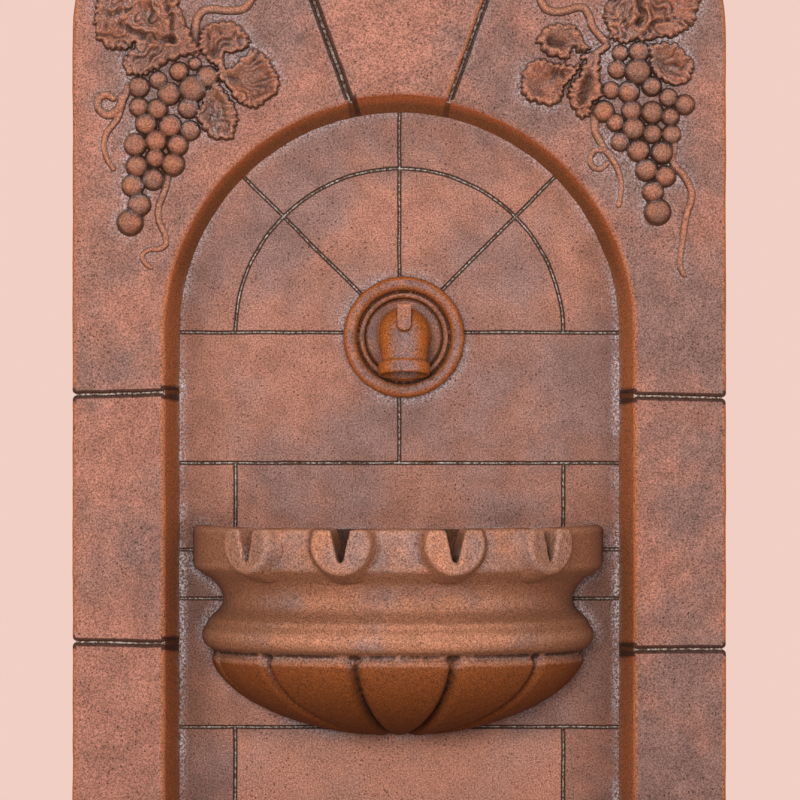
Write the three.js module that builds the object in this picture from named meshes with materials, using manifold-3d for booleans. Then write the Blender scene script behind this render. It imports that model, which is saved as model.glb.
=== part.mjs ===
// Wall fountain with an arched niche, vine relief, a hooded tap and two bowls.
// Millimetres. X to the right, Z up, Y into the wall: the flat back lies on Y = 0 and the front faces -Y.
import * as THREE from 'three';
import { mergeVertices } from 'three/addons/utils/BufferGeometryUtils.js';
import Module from 'manifold-3d';

const wasm = await Module();
wasm.setup();

// Wall panel: the slab, its head and its raised frame
const panelWidth = 458;
const panelThickness = 45;
const panelFoot = -440;
const headSpring = 252;
const crownRise = 122;
const crownPower = 2.6;
const edgeRound = 3;
const jambWidth = 64.5;

// Niche: a pocket with drafted sides under a round arch
const nicheBackThickness = 18;
const nicheDraft = 9.5;
const archCentreHeight = 47.6;
const sillHeight = -296;
const nicheLip = 3;

// Scored joints, cut as shallow V grooves
const grooveWidth = 4.4;
const grooveDepth = 2.4;
const fanRadius = 115.5;
const courseDrops = [0, 92, 187.5, 278];
const halfCourseDrop = 153;
const leftBlockJoints = [4.2, -169.4, -342];
const rightBlockJoints = [2.8, -175, -342];

// Keystone
const keystoneFootHeight = 212;
const keystoneFootWidth = 69;
const keystoneFlare = 0.724;
const keystoneRise = 8;
const keystoneProud = 6;
const keystoneJointOffset = 3.3;

// Vine relief
const vineHeight = 200;
const vineEdgeOffset = 46;
const vineTopHeight = 300;
const berryLift = 0.3;
const berryShare = 0.95;
const leafThickness = 6.5;
const leafSink = 1.5;
const tendrilWidth = 5.2;

// Rosette and tap
const fitGap = 0.3;
const rosetteRadius = 42.7;
const rosetteHeight = 10;
const rosetteOffsetX = 2.4;
const rosetteDrop = 2.9;
const tapLength = 48;
const tapCollarRadius = 19;
const tapCollarHeight = 9.5;
const tapBore = 26;
const tapBoreDepth = 14;
const tapLean = 12;
const tapReach = 24;
const leverWidth = 10;
const leverHeight = 19;
const leverReach = 5;

// Upper bowl
const bowlRimHeight = -88;
const bowlOffsetX = -1;
const bowlSideGap = 10.7;
const bowlWall = 10;
const rimBandHeight = 31;
const rimWall = 12;
const rimRound = 3;
const rimLedge = 5;
const rimInnerStep = 6;
const coveStep = 1;
const bellyStep = 2;
const coveDepth = 20.5;
const coveHeight = 36;
const torusRadius = 10;
const torusInset = 6.3;
const bellyInset = 14.4;
const bellyDepth = 60.5;
const bellyPower = 1.85;
const lobeAngle = 30;
const lobeGrooveDepth = 6.5;
const lobeGrooveShare = 0.34;
const lobeSwell = 1.6;

// Lips of the upper bowl
const lipAngles = [-45, -15, 15, 45];
const lipRadius = 20.8;
const lipTaper = 2.6;
const lipProud = 8.2;
const lipDrop = 11;
const notchWidth = 14;
const notchTip = 3;
const notchDepth = 22;

// Lower basin
const basinInset = 24;
const basinReach = 165;
const basinRimDrop = 4;
const basinWall = 10;
const basinDepth = 134;
const basinBand = 30;
const basinCoveDepth = 24;
const basinCoveHeight = 36;
const basinTorus = 9;
const basinTorusInset = 12;
const basinBellyStep = 3;
const basinNeckRise = 4;
const basinNeckDrop = 8;
const basinFootRadius = 66;

// How finely round forms are divided
const archSteps = 30;
const crownSteps = 24;
const lobedSteps = 72;
const bowlSteps = 48;
const plainSteps = 36;
const ringSteps = 20;
const tendrilSides = 5;
const berrySides = 8;
const coveSteps = 5;
const bellySteps = 6;

const degree = Math.PI / 180;
const frameFront = -panelThickness;
const nicheBack = -nicheBackThickness;
const archRadius = panelWidth / 2 - jambWidth;
const nicheBackRadius = archRadius - nicheDraft;
const crownHeight = headSpring + crownRise;
const bowlRadius = nicheBackRadius - bowlSideGap;
const far = panelWidth + crownHeight - panelFoot;

// Solids: closed geometry to a solid and back, with the faces turned outwards
function signedVolume(positions, triangles) {
  const corner = (i) => new THREE.Vector3().fromArray(positions, 3 * i);
  let total = 0;
  for (let i = 0; i < triangles.length; i += 3) {
    const [a, b, c] = [0, 1, 2].map((k) => corner(triangles[i + k]));
    total += a.dot(b.cross(c)) / 6;
  }
  return total;
}

function solid(geometry) {
  const bare = geometry.clone();
  bare.deleteAttribute('normal');
  bare.deleteAttribute('uv');
  const merged = mergeVertices(bare, 1e-4);
  const positions = Float32Array.from(merged.attributes.position.array);
  const triangles = [];
  for (let i = 0; i < merged.index.count; i += 3) {
    const [a, b, c] = [0, 1, 2].map((k) => merged.index.getX(i + k));
    if (a !== b && b !== c && c !== a) triangles.push(a, b, c);
  }
  if (signedVolume(positions, triangles) < 0) triangles.reverse();
  return new wasm.Manifold(new wasm.Mesh({
    numProp: 3,
    vertProperties: positions,
    triVerts: Uint32Array.from(triangles),
  }));
}

function geometryOf(body) {
  const mesh = body.getMesh();
  const geometry = new THREE.BufferGeometry();
  geometry.setAttribute('position', new THREE.BufferAttribute(Float32Array.from(mesh.vertProperties), 3));
  geometry.setIndex(new THREE.BufferAttribute(Uint32Array.from(mesh.triVerts), 1));
  geometry.computeVertexNormals();
  return geometry;
}

function joined(bodies) {
  return bodies.reduce((whole, body) => whole.add(body));
}

function block(low, high) {
  const size = high.map((value, i) => value - low[i]);
  const box = new THREE.BoxGeometry(...size);
  box.translate(...high.map((value, i) => (value + low[i]) / 2));
  return solid(box);
}

// Everything behind the plane y = 0, which pieces that lie against it are cut off by
const behind = block([-far, 0, -far], [far, far, far]);

// A body between outlines of equal length, each a list of [x, z] at its own depth y
function loft(sections) {
  const count = sections[0].outline.length;
  const positions = sections.flatMap(({ outline, y }) => outline.flatMap(([x, z]) => [x, y, z]));
  const triangles = [];
  for (let s = 0; s + 1 < sections.length; s += 1) {
    for (let i = 0; i < count; i += 1) {
      const next = (i + 1) % count;
      const [a, b] = [s * count + i, s * count + next];
      const [c, d] = [a + count, b + count];
      triangles.push(a, b, c, b, d, c);
    }
  }
  const capOf = ({ outline }) => THREE.ShapeUtils.triangulateShape(
    outline.map(([x, z]) => new THREE.Vector2(x, z)), []);
  const last = (sections.length - 1) * count;
  for (const [a, b, c] of capOf(sections[0])) triangles.push(c, b, a);
  for (const [a, b, c] of capOf(sections.at(-1))) triangles.push(last + a, last + b, last + c);
  const geometry = new THREE.BufferGeometry();
  geometry.setAttribute('position', new THREE.Float32BufferAttribute(positions, 3));
  geometry.setIndex(triangles);
  return solid(geometry);
}

// A turned body about the vertical axis, from a closed profile of [radius, z]
function turned(profile, steps, shape = () => 1) {
  const lathe = new THREE.LatheGeometry(profile.map(([r, z]) => new THREE.Vector2(r, z)), steps);
  lathe.rotateX(Math.PI / 2);
  const place = lathe.attributes.position;
  for (let i = 0; i < place.count; i += 1) {
    const factor = shape(Math.atan2(place.getX(i), -place.getY(i)), place.getZ(i),
      Math.hypot(place.getX(i), place.getY(i)));
    place.setXY(i, place.getX(i) * factor, place.getY(i) * factor);
  }
  return solid(lathe);
}

// A straight V groove in a face that looks along -Y, as the body that cuts it
function grooveCutter([x0, z0], [x1, z1], faceY, width = grooveWidth, depth = grooveDepth) {
  const start = new THREE.Vector3(x0, faceY, z0);
  const along = new THREE.Vector3(x1 - x0, 0, z1 - z0);
  const length = along.length();
  along.normalize();
  const inward = new THREE.Vector3(0, 1, 0);
  const across = inward.clone().cross(along);
  const section = new THREE.Shape([
    new THREE.Vector2(-width, -depth),
    new THREE.Vector2(width, -depth),
    new THREE.Vector2(0, depth),
  ]);
  const cutter = new THREE.ExtrudeGeometry(section, { depth: length, bevelEnabled: false });
  cutter.applyMatrix4(new THREE.Matrix4().makeBasis(across, inward, along).setPosition(start));
  return solid(cutter);
}

// Wall panel outlines
function headOutline(inset) {
  const half = panelWidth / 2 - inset;
  const rise = crownRise - inset;
  const outline = [[-half, panelFoot + inset], [half, panelFoot + inset]];
  for (let i = 0; i <= crownSteps; i += 1) {
    const turn = (Math.PI * i) / crownSteps;
    const across = Math.sign(Math.cos(turn)) * Math.abs(Math.cos(turn)) ** (2 / crownPower);
    const up = Math.abs(Math.sin(turn)) ** (2 / crownPower);
    outline.push([half * across, headSpring + rise * up]);
  }
  return outline;
}

function nicheOutline(radius, sill) {
  const outline = [[-radius, sill], [radius, sill]];
  for (let i = 0; i <= archSteps; i += 1) {
    const turn = (Math.PI * i) / archSteps;
    outline.push([radius * Math.cos(turn), archCentreHeight + radius * Math.sin(turn)]);
  }
  return outline;
}

function keystoneHalfWidth(height) {
  return keystoneFootWidth / 2 + (keystoneFlare / 2) * (height - keystoneFootHeight);
}

function keystoneOutline(inset) {
  const [foot, top] = [keystoneFootHeight + inset, crownHeight + keystoneRise - inset];
  const [footHalf, topHalf] = [keystoneHalfWidth(foot) - inset, keystoneHalfWidth(top) - inset];
  return [[-footHalf, foot], [footHalf, foot], [topHalf, top], [-topHalf, top]];
}

function slab() {
  return loft([
    { outline: headOutline(0), y: 0 },
    { outline: headOutline(0), y: frameFront + edgeRound },
    { outline: headOutline(edgeRound * 0.3), y: frameFront + edgeRound * 0.3 },
    { outline: headOutline(edgeRound), y: frameFront },
  ]);
}

function niche() {
  const outer = archRadius + nicheLip;
  return loft([
    { outline: nicheOutline(nicheBackRadius, sillHeight), y: nicheBack },
    { outline: nicheOutline(archRadius, sillHeight), y: frameFront + nicheLip },
    { outline: nicheOutline(archRadius + nicheLip * 0.3, sillHeight), y: frameFront + nicheLip * 0.3 },
    { outline: nicheOutline(outer, sillHeight), y: frameFront },
    { outline: nicheOutline(outer, sillHeight), y: frameFront - nicheLip },
  ]);
}

// The keystone is a wedge whose top follows the curve of the head, a little above it
function keystone() {
  const wedge = loft([
    { outline: keystoneOutline(0), y: -edgeRound },
    { outline: keystoneOutline(0), y: frameFront - keystoneProud + edgeRound * 0.6 },
    { outline: keystoneOutline(edgeRound * 0.6), y: frameFront - keystoneProud },
  ]);
  const curve = loft([
    { outline: headOutline(-keystoneRise), y: far },
    { outline: headOutline(-keystoneRise), y: -far },
  ]);
  return wedge.intersect(curve);
}

// Joints of the niche back: courses, a fan of five stones and the upright joints under it
function nicheJoints() {
  const [r, centre] = [nicheBackRadius, archCentreHeight];
  const courses = courseDrops.map((drop) => centre - drop);
  const cuts = courses.map((height) => grooveCutter([-r, height], [r, height], nicheBack));
  for (const turn of [45, 90, 135]) {
    const spoke = [Math.cos(turn * degree), Math.sin(turn * degree)];
    cuts.push(grooveCutter([0, centre], [r * spoke[0], centre + r * spoke[1]], nicheBack));
  }
  cuts.push(grooveCutter([0, courses[1]], [0, centre], nicheBack));
  for (const side of [-1, 1]) {
    const x = side * fanRadius;
    cuts.push(grooveCutter([x, courses[2]], [x, courses[1]], nicheBack));
    cuts.push(grooveCutter([x, sillHeight], [x, courses[3]], nicheBack));
    const height = centre - halfCourseDrop;
    cuts.push(grooveCutter([Math.min(x, side * r), height], [Math.max(x, side * r), height], nicheBack));
  }
  const fan = new THREE.LatheGeometry([
    new THREE.Vector2(fanRadius - grooveWidth, grooveDepth),
    new THREE.Vector2(fanRadius, -grooveDepth),
    new THREE.Vector2(fanRadius + grooveWidth, grooveDepth),
    new THREE.Vector2(fanRadius - grooveWidth, grooveDepth),
  ], bowlSteps);
  fan.rotateX(Math.PI);
  fan.translate(0, nicheBack, centre);
  const below = block([-far, -far, centre - far], [far, far, centre]);
  cuts.push(solid(fan).subtract(below));
  return joined(cuts);
}

// Joints between the blocks of the frame: across the front and round the outer side
function blockJoints() {
  const cuts = [];
  for (const [side, heights] of [[-1, leftBlockJoints], [1, rightBlockJoints]]) {
    for (const height of heights) {
      const inner = side * nicheBackRadius;
      const outer = side * (panelWidth / 2 + grooveWidth);
      const [from, to] = [Math.min(inner, outer), Math.max(inner, outer)];
      cuts.push(grooveCutter([from, height], [to, height], frameFront));
      const notch = grooveCutter([0, -panelThickness], [0, 0], 0);
      const edge = notch.rotate([90, 0, 0]).rotate([0, 0, side * 90]);
      cuts.push(edge.translate([side * (panelWidth / 2), 0, height]));
    }
  }
  for (const side of [-1, 1]) {
    const at = (height) => [side * (keystoneHalfWidth(height) + keystoneJointOffset), height];
    cuts.push(grooveCutter(at(keystoneFootHeight - nicheDraft), at(crownHeight), frameFront));
  }
  return joined(cuts);
}

// Vine relief, drawn for the left side with its own origin at the outer edge and its top, 200 high
const vineDrawnHeight = 200;

const leftVine = {
  berries: [
    { from: [-28, -81], to: [11, -64.5], count: 4, radius: 6 },
    { from: [-7.2, -85.6], to: [19.7, -73.8], count: 3, radius: 7.4 },
    { from: [-28.2, -94.9], to: [6.4, -95.6], count: 3, radius: 6.3 },
    { from: [-23.3, -106.7], to: [7.6, -111.3], count: 3, radius: 6.7 },
    { from: [-30.8, -121.2], to: [-1.3, -121.5], count: 3, radius: 7 },
    { from: [-29.5, -136.3], to: [-4.7, -134.9], count: 3, radius: 6.6 },
    { from: [-32.5, -149.9], to: [-18.5, -145.4], count: 2, radius: 7 },
    { from: [-28.2, -163.3], to: [-28.2, -163.3], count: 1, radius: 6.9 },
    { from: [-34.5, -175.7], to: [-34.5, -175.7], count: 1, radius: 7.7 },
  ],
  leaves: [
    {
      origin: [14, -60],
      lobes: [[37, 39, 34], [8, 42, 18], [-17, 57, 24], [-40, 53, 18], [-72, 60, 20], [-92, 44, 16]],
    },
    {
      origin: [6, -50],
      lobes: [[92, 46, 22], [118, 54, 20], [143, 62, 18], [166, 68, 15], [180, 62, 10],
        [197, 49, 13], [220, 38, 16]],
    },
  ],
  tendrils: [
    [[-38, -84], [-41.5, -91], [-43.6, -103], [-50.6, -111], [-53, -119.4], [-50.6, -129], [-46.4, -138]],
    [[-8, -144], [-10.4, -153.4], [-14.4, -164.6], [-14.4, -174.3], [-10.4, -184], [-13, -192],
      [-21.6, -194.3], [-26, -198.4], [-23, -206]],
    [[11.3, -52], [11.3, -37.5], [14.5, -29.7], [20.8, -26.1], [35.5, -27.2], [45, -25.6], [50, -18],
      [48, -8]],
  ],
  curls: [[-50.6, -93.2, 5.2]],
};

const rightVine = {
  berries: [
    { from: [0.8, -57], to: [14.1, -56.2], count: 2, radius: 5.8 },
    { from: [-1.3, -68.5], to: [13.3, -70.1], count: 2, radius: 6.8 },
    { from: [-5.7, -83.1], to: [22.8, -80.3], count: 3, radius: 6.1 },
    { from: [34.5, -88.3], to: [45.8, -93.2], count: 2, radius: 5.9 },
    { from: [-11, -97.9], to: [35.8, -101.6], count: 4, radius: 6.4 },
    { from: [-2.5, -105.7], to: [36.6, -114], count: 4, radius: 6.1 },
    { from: [0.8, -119.2], to: [30, -126.9], count: 3, radius: 6.4 },
    { from: [19.2, -138.9], to: [32.1, -143.4], count: 2, radius: 6.6 },
    { from: [23.7, -154.2], to: [23.7, -154.2], count: 1, radius: 6.6 },
    { from: [26.8, -168.2], to: [26.8, -168.2], count: 1, radius: 7.8 },
  ],
  leaves: [
    {
      origin: [-14, -56],
      lobes: [[161, 46, 22], [176, 44, 12], [201, 60, 19], [218, 59, 16], [232, 48, 14], [254, 48, 16]],
    },
    {
      origin: [8, -50],
      lobes: [[112, 44, 20], [86, 52, 20], [60, 56, 18], [30, 58, 18], [11, 42, 10], [-19, 48, 14],
        [-38, 44, 14]],
    },
  ],
  tendrils: [
    [[-17, -103.3], [-16.3, -114.9], [-10.7, -124.3], [-2.3, -135.5], [1.6, -148.6], [-0.2, -164]],
    [[38.6, -123], [40.2, -135.5], [48.1, -145.3], [51.4, -157.9], [45.8, -174], [43.4, -188.7],
      [43.4, -204.8], [46, -212]],
    [[-8.9, -52.2], [-18.4, -60.2], [-18.4, -73.1], [-17, -89.1]],
    [[-10.7, -45.7], [-18.4, -32.9], [-26.5, -24.8], [-41, -28.1], [-50.6, -26.4], [-56, -18], [-54, -8]],
  ],
  curls: [[-13.7, -131.3, 5]],
};

// A leaf is a low dome with a rolled rim, its outline the reach of its lobes about the vein origin
function leaf({ origin, lobes }, scale) {
  const steps = 5 * lobes.length;
  const smallest = 10 * scale;
  const reach = (turn) => Math.max(smallest, ...lobes.map(([angle, length, spread]) => {
    const off = Math.abs(((turn - angle + 540) % 360) - 180) / spread;
    return off < 1 ? length * scale * (1 - off * off) ** 0.4 : 0;
  }));
  const ring = (share) => Array.from({ length: steps }, (_, i) => {
    const turn = (360 * i) / steps;
    const r = share * reach(turn);
    return [origin[0] * scale + r * Math.cos(turn * degree), origin[1] * scale + r * Math.sin(turn * degree)];
  });
  const height = leafThickness * scale;
  return loft([
    { outline: ring(1), y: leafSink },
    { outline: ring(0.93), y: -height },
    { outline: ring(0.5), y: -height * 0.5 },
  ]);
}

function tendril(points, scale) {
  const radius = (tendrilWidth / 2) * scale;
  const round = new THREE.Shape(Array.from({ length: tendrilSides }, (_, i) => {
    const turn = (2 * Math.PI * i) / tendrilSides;
    return new THREE.Vector2(radius * Math.cos(turn), radius * Math.sin(turn));
  }));
  const path = new THREE.CatmullRomCurve3(points.map(([x, z]) => new THREE.Vector3(x * scale, 0, z * scale)));
  return solid(new THREE.ExtrudeGeometry(round, {
    steps: Math.round(1.4 * points.length),
    extrudePath: path,
  }));
}

function vine(drawing, side) {
  const scale = vineHeight / vineDrawnHeight;
  const bodies = drawing.leaves.map((one) => leaf(one, scale));
  for (const { from, to, count, radius } of drawing.berries) {
    for (let i = 0; i < count; i += 1) {
      const share = count > 1 ? i / (count - 1) : 0;
      const berry = new THREE.SphereGeometry(berryShare * radius * scale, berrySides, berrySides / 2);
      berry.rotateX(Math.PI / 2);
      const [x, z] = [0, 1].map((k) => scale * (from[k] + share * (to[k] - from[k])));
      berry.translate(x, -berryLift * radius * scale, z);
      bodies.push(solid(berry));
    }
  }
  for (const points of drawing.tendrils) bodies.push(tendril(points, scale));
  for (const [x, z, radius] of drawing.curls) {
    const curl = new THREE.TorusGeometry(radius * scale, (tendrilWidth / 2) * scale, tendrilSides, 10);
    curl.rotateX(Math.PI / 2);
    curl.translate(x * scale, 0, z * scale);
    bodies.push(solid(curl));
  }
  const x = side * (panelWidth / 2 - vineEdgeOffset - jambWidth * 0.45);
  return joined(bodies).translate([x, frameFront, vineTopHeight]);
}

function wallPanel() {
  const stone = slab().subtract(niche()).add(keystone());
  const scored = stone.subtract(nicheJoints()).subtract(blockJoints());
  return joined([scored, vine(leftVine, -1), vine(rightVine, 1)]).subtract(behind);
}

// Rosette with its tap, turned about axes that lie in the plane of symmetry
function spoutRosette() {
  const r = rosetteRadius;
  const h = rosetteHeight;
  const plate = turned([
    [0, 0], [r, 0], [r, 0.35 * h], [0.97 * r, 0.72 * h], [0.89 * r, h], [0.81 * r, 0.78 * h],
    [0.765 * r, 0.42 * h], [0.735 * r, 0.8 * h], [0.68 * r, 0.92 * h], [0.63 * r, 0.8 * h],
    [0.6 * r, 0.35 * h], [0, 0.35 * h],
  ], ringSteps).rotate([90, 0, 0]);
  const c = tapCollarRadius;
  const body = turned([
    [0, 0], [c, 0], [c, tapCollarHeight], [0.91 * c, tapCollarHeight + 1], [0.8 * c, 0.52 * tapLength],
    [0.7 * c, 0.8 * tapLength], [0.54 * c, 0.92 * tapLength], [0.28 * c, 0.98 * tapLength], [0, tapLength],
  ], ringSteps / 2 + 4);
  const bore = turned([
    [0, -tapBoreDepth], [tapBore / 2, -tapBoreDepth], [tapBore / 2, tapBoreDepth], [0, tapBoreDepth],
  ], ringSteps / 2);
  const leverSection = new THREE.Shape();
  leverSection.absellipse(0, 0, leverWidth / 2, leverWidth / 2, 0, Math.PI, true);
  leverSection.lineTo(-leverWidth / 2, leverHeight - leverWidth / 2);
  leverSection.lineTo(leverWidth / 2, leverHeight - leverWidth / 2);
  const lever = new THREE.ExtrudeGeometry(leverSection, {
    depth: tapCollarRadius + leverReach * 0.4,
    bevelEnabled: false,
    curveSegments: 6,
  });
  lever.rotateX(Math.PI / 2);
  lever.translate(0, 0, tapLength * 0.6);
  const tap = body.add(solid(lever)).subtract(bore);
  const mouthHeight = -0.635 * rosetteRadius;
  const placed = tap.rotate([-tapLean, 0, 0]).translate([0, -tapReach, mouthHeight]);
  return plate.add(placed.subtract(behind))
    .translate([rosetteOffsetX, nicheBack - fitGap, archCentreHeight - rosetteDrop]);
}

// Profile of a bowl from its foot up to its rim, as [radius, z] below a rim at z = 0
function coveArc(radius, top, depth, height) {
  const points = [];
  for (let i = 1; i < coveSteps; i += 1) {
    const turn = (Math.PI * i) / coveSteps;
    points.push([radius - depth * Math.sin(turn), top - (height * (1 - Math.cos(turn))) / 2]);
  }
  return points.reverse();
}

function bellyArc(radius, top, depth, power) {
  const points = [];
  for (let i = 0; i <= bellySteps; i += 1) {
    const r = radius * Math.sin((Math.PI * i) / (2 * bellySteps));
    points.push([r, top - depth * (1 - (r / radius) ** power) ** (1 / power)]);
  }
  return points;
}

const coveTop = -rimBandHeight;
const torusTop = coveTop - coveHeight;
const torusFoot = torusTop - 2 * torusRadius;
const bellyTop = torusFoot - bellyStep;
const bellyRadius = bowlRadius - bellyInset;

function bowlOuter() {
  const torusCentre = bowlRadius - torusInset - torusRadius;
  const torus = [[1, -1], [1.7, -0.7], [2, 0], [1.7, 0.7], [1.3, 0.95]].map(([out, up]) => [
    torusCentre + (out - 1) * torusRadius, (torusTop + torusFoot) / 2 + up * torusRadius]);
  const mouldings = turned([
    [0, bellyTop],
    ...torus,
    ...coveArc(bowlRadius - coveStep, coveTop, coveDepth, coveHeight),
    [bowlRadius - rimLedge, coveTop], [bowlRadius, coveTop + rimRound], [bowlRadius, -rimRound],
    [bowlRadius - rimRound, 0], [0, 0],
  ], bowlSteps);
  const lobed = (turn, z, radius) => {
    if (z > bellyTop + 0.1) return 1;
    const share = Math.abs((((turn / degree / lobeAngle) % 1) + 1) % 1 - 0.5) * 2;
    const inGroove = share < lobeGrooveShare;
    const sunk = -lobeGrooveDepth * (1 - share / lobeGrooveShare);
    const swollen = lobeSwell * Math.sin((share * Math.PI) / 2);
    const fade = Math.min(1, radius / bellyRadius);
    return radius > 0 ? 1 + ((inGroove ? sunk : swollen) * fade) / radius : 1;
  };
  const belly = turned([
    ...bellyArc(bellyRadius, bellyTop, bellyDepth, bellyPower),
    [bellyRadius - torusRadius / 2, bellyTop + torusRadius], [0, bellyTop + torusRadius],
  ], lobedSteps, lobed);
  return mouldings.add(belly);
}

function bowlInner() {
  const r = bowlRadius - rimWall;
  const neck = bowlRadius - coveDepth - bowlWall;
  return turned([
    ...bellyArc(bellyRadius - bowlWall, bellyTop, bellyDepth - bowlWall, bellyPower),
    [bowlRadius - torusInset - torusRadius - bowlWall * 0.6, (torusTop + torusFoot) / 2],
    [neck, torusTop + coveHeight * 0.35], [neck, coveTop - coveHeight * 0.35],
    [r, coveTop + rimInnerStep], [r, bowlWall], [0, bowlWall],
  ], plainSteps);
}

function lip(angle) {
  const reach = bowlRadius + lipProud;
  const root = bowlRadius - rimWall;
  const boss = new THREE.LatheGeometry([
    new THREE.Vector2(0, root), new THREE.Vector2(lipRadius + lipTaper, root),
    new THREE.Vector2(lipRadius + lipTaper * 0.6, reach - lipTaper), new THREE.Vector2(lipRadius - 1, reach),
    new THREE.Vector2(0, reach),
  ], ringSteps);
  boss.rotateX(Math.PI);
  boss.translate(0, 0, -lipDrop);
  boss.rotateZ(angle * degree);
  return solid(boss);
}

function notchCutter(angle) {
  const spread = (notchWidth - notchTip) / notchDepth;
  const top = notchDepth;
  const half = (height) => (notchTip + spread * height) / 2;
  const section = new THREE.Shape([
    new THREE.Vector2(-half(0), -notchDepth), new THREE.Vector2(half(0), -notchDepth),
    new THREE.Vector2(half(notchDepth + top), top), new THREE.Vector2(-half(notchDepth + top), top),
  ]);
  const length = 3 * (rimWall + lipProud);
  const cutter = new THREE.ExtrudeGeometry(section, { depth: length, bevelEnabled: false });
  cutter.rotateX(Math.PI / 2);
  cutter.translate(0, -(bowlRadius - rimWall - lipProud), 0);
  cutter.rotateZ(angle * degree);
  return solid(cutter);
}

function upperBowl() {
  const above = block([-far, -far, 0], [far, far, far]);
  const lips = joined(lipAngles.map(lip)).subtract(above);
  const notches = joined(lipAngles.map(notchCutter));
  const shell = bowlOuter().add(lips).subtract(bowlInner()).subtract(notches).subtract(behind);
  return shell.translate([bowlOffsetX, nicheBack - fitGap, bowlRimHeight]);
}

// Lower basin: the upper bowl's mouldings, plainer, on a half-oval plan
function lowerBasin() {
  const radius = panelWidth / 2 - basinInset;
  const torusTopHere = -basinBand - basinCoveHeight;
  const bellyTopHere = torusTopHere - 2 * basinTorus;
  const belly = (r, foot, depth) => {
    const points = [];
    for (let i = 0; i <= bellySteps; i += 1) {
      const turn = (Math.PI * i) / (2 * bellySteps);
      points.push([foot + (r - foot) * Math.sin(turn), bellyTopHere - (depth + bellyTopHere) * Math.cos(turn)]);
    }
    return points;
  };
  const torusCentre = radius - basinTorusInset - basinTorus;
  const torus = [[1, -1], [1.7, -0.7], [2, 0], [1.7, 0.7], [1, 1]].map(([out, up]) => [
    torusCentre + (out - 1) * basinTorus, torusTopHere - basinTorus + up * basinTorus]);
  const outer = turned([
    [0, -basinDepth],
    ...belly(torusCentre - basinBellyStep, basinFootRadius, basinDepth),
    ...torus,
    ...coveArc(radius - coveStep, -basinBand, basinCoveDepth, basinCoveHeight),
    [radius - rimLedge, -basinBand], [radius, -basinBand + rimRound], [radius, -rimRound],
    [radius - rimRound, 0], [0, 0],
  ], plainSteps);
  const rim = radius - rimWall;
  const neck = radius - basinCoveDepth - basinWall;
  const inner = turned([
    [0, -basinDepth + basinWall],
    ...belly(torusCentre - basinBellyStep - basinWall, basinFootRadius - basinWall, basinDepth - basinWall),
    [neck, torusTopHere + basinNeckRise], [neck, -basinBand - basinNeckDrop],
    [rim, -basinBand + rimInnerStep], [rim, basinWall], [0, basinWall],
  ], plainSteps);
  const squash = basinReach / radius;
  return outer.subtract(inner).scale([1, squash, 1]).subtract(behind)
    .translate([0, frameFront - fitGap, sillHeight - basinRimDrop]);
}

// The scene graph
const finishes = {
  stone: new THREE.MeshStandardMaterial({ color: 0xb07a66, roughness: 0.85, metalness: 0 }),
  rosette: new THREE.MeshStandardMaterial({ color: 0xa85a2e, roughness: 0.75, metalness: 0 }),
  bowl: new THREE.MeshStandardMaterial({ color: 0x9a5a36, roughness: 0.8, metalness: 0 }),
  basin: new THREE.MeshStandardMaterial({ color: 0x9a5f42, roughness: 0.8, metalness: 0 }),
};

function piece(name, body, material) {
  const mesh = new THREE.Mesh(geometryOf(body), material);
  mesh.name = name;
  return mesh;
}

const fountain = new THREE.Group();
fountain.add(
  piece('wall_panel', wallPanel(), finishes.stone),
  piece('spout_rosette', spoutRosette(), finishes.rosette),
  piece('upper_bowl', upperBowl(), finishes.bowl),
  piece('lower_basin', lowerBasin(), finishes.basin),
);

export default fountain;
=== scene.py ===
"""Arched wall fountain of cast stone: panel, vine relief, tap rosette, lobed bowl and catch basin.

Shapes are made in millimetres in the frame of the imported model, with X to the right, Z up and the
front facing -Y. Every finished mesh is turned into metres.
"""
import logging
import math
import random
from dataclasses import dataclass, replace
from enum import Enum

import bmesh
import bpy
import numpy as np
from mathutils import Matrix, Vector, noise


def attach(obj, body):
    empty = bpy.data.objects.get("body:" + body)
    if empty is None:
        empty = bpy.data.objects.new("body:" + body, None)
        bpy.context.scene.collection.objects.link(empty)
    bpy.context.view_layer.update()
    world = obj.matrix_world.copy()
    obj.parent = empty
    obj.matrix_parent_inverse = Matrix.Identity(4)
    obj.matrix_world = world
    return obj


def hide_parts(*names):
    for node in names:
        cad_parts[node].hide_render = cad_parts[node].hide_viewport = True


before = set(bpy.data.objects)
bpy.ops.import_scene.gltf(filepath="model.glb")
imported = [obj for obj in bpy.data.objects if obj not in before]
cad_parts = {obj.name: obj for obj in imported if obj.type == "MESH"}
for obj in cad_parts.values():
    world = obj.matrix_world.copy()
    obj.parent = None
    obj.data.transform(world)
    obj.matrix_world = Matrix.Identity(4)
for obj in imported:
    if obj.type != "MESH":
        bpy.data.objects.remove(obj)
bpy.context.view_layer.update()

Point = tuple[float, float]
Colour = tuple[float, float, float]

MM = 0.001
BODY = "root"
BULGE = "bulge"
LOG = logging.getLogger("wall_fountain")

# Limits for shapes, in millimetres and degrees
WELD = 0.005
TURN_WELD = 0.001
SHARP_ANGLE = 25
SPLIT_ANGLE = 40
HAIR = 0.1
BACK_GAP = 1.0

# How far and with how many rays the finishes look round, in millimetres
NEAR_REACH, NEAR_RAYS = 9, 4
FAR_REACH, FAR_RAYS = 60, 3


class Node(Enum):
    """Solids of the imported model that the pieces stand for."""

    PANEL = "wall_panel"
    ROSETTE = "spout_rosette"
    BOWL = "upper_bowl"
    BASIN = "lower_basin"


class Slot(Enum):
    """Material slots of the record."""

    PANEL = "panel_stone"
    ROSETTE = "rosette_stone"
    BOWL = "bowl_stone"
    BASIN = "basin_stone"


class Side(Enum):
    """Side of the panel, by the sign of X there."""

    LEFT = -1
    RIGHT = 1


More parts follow.
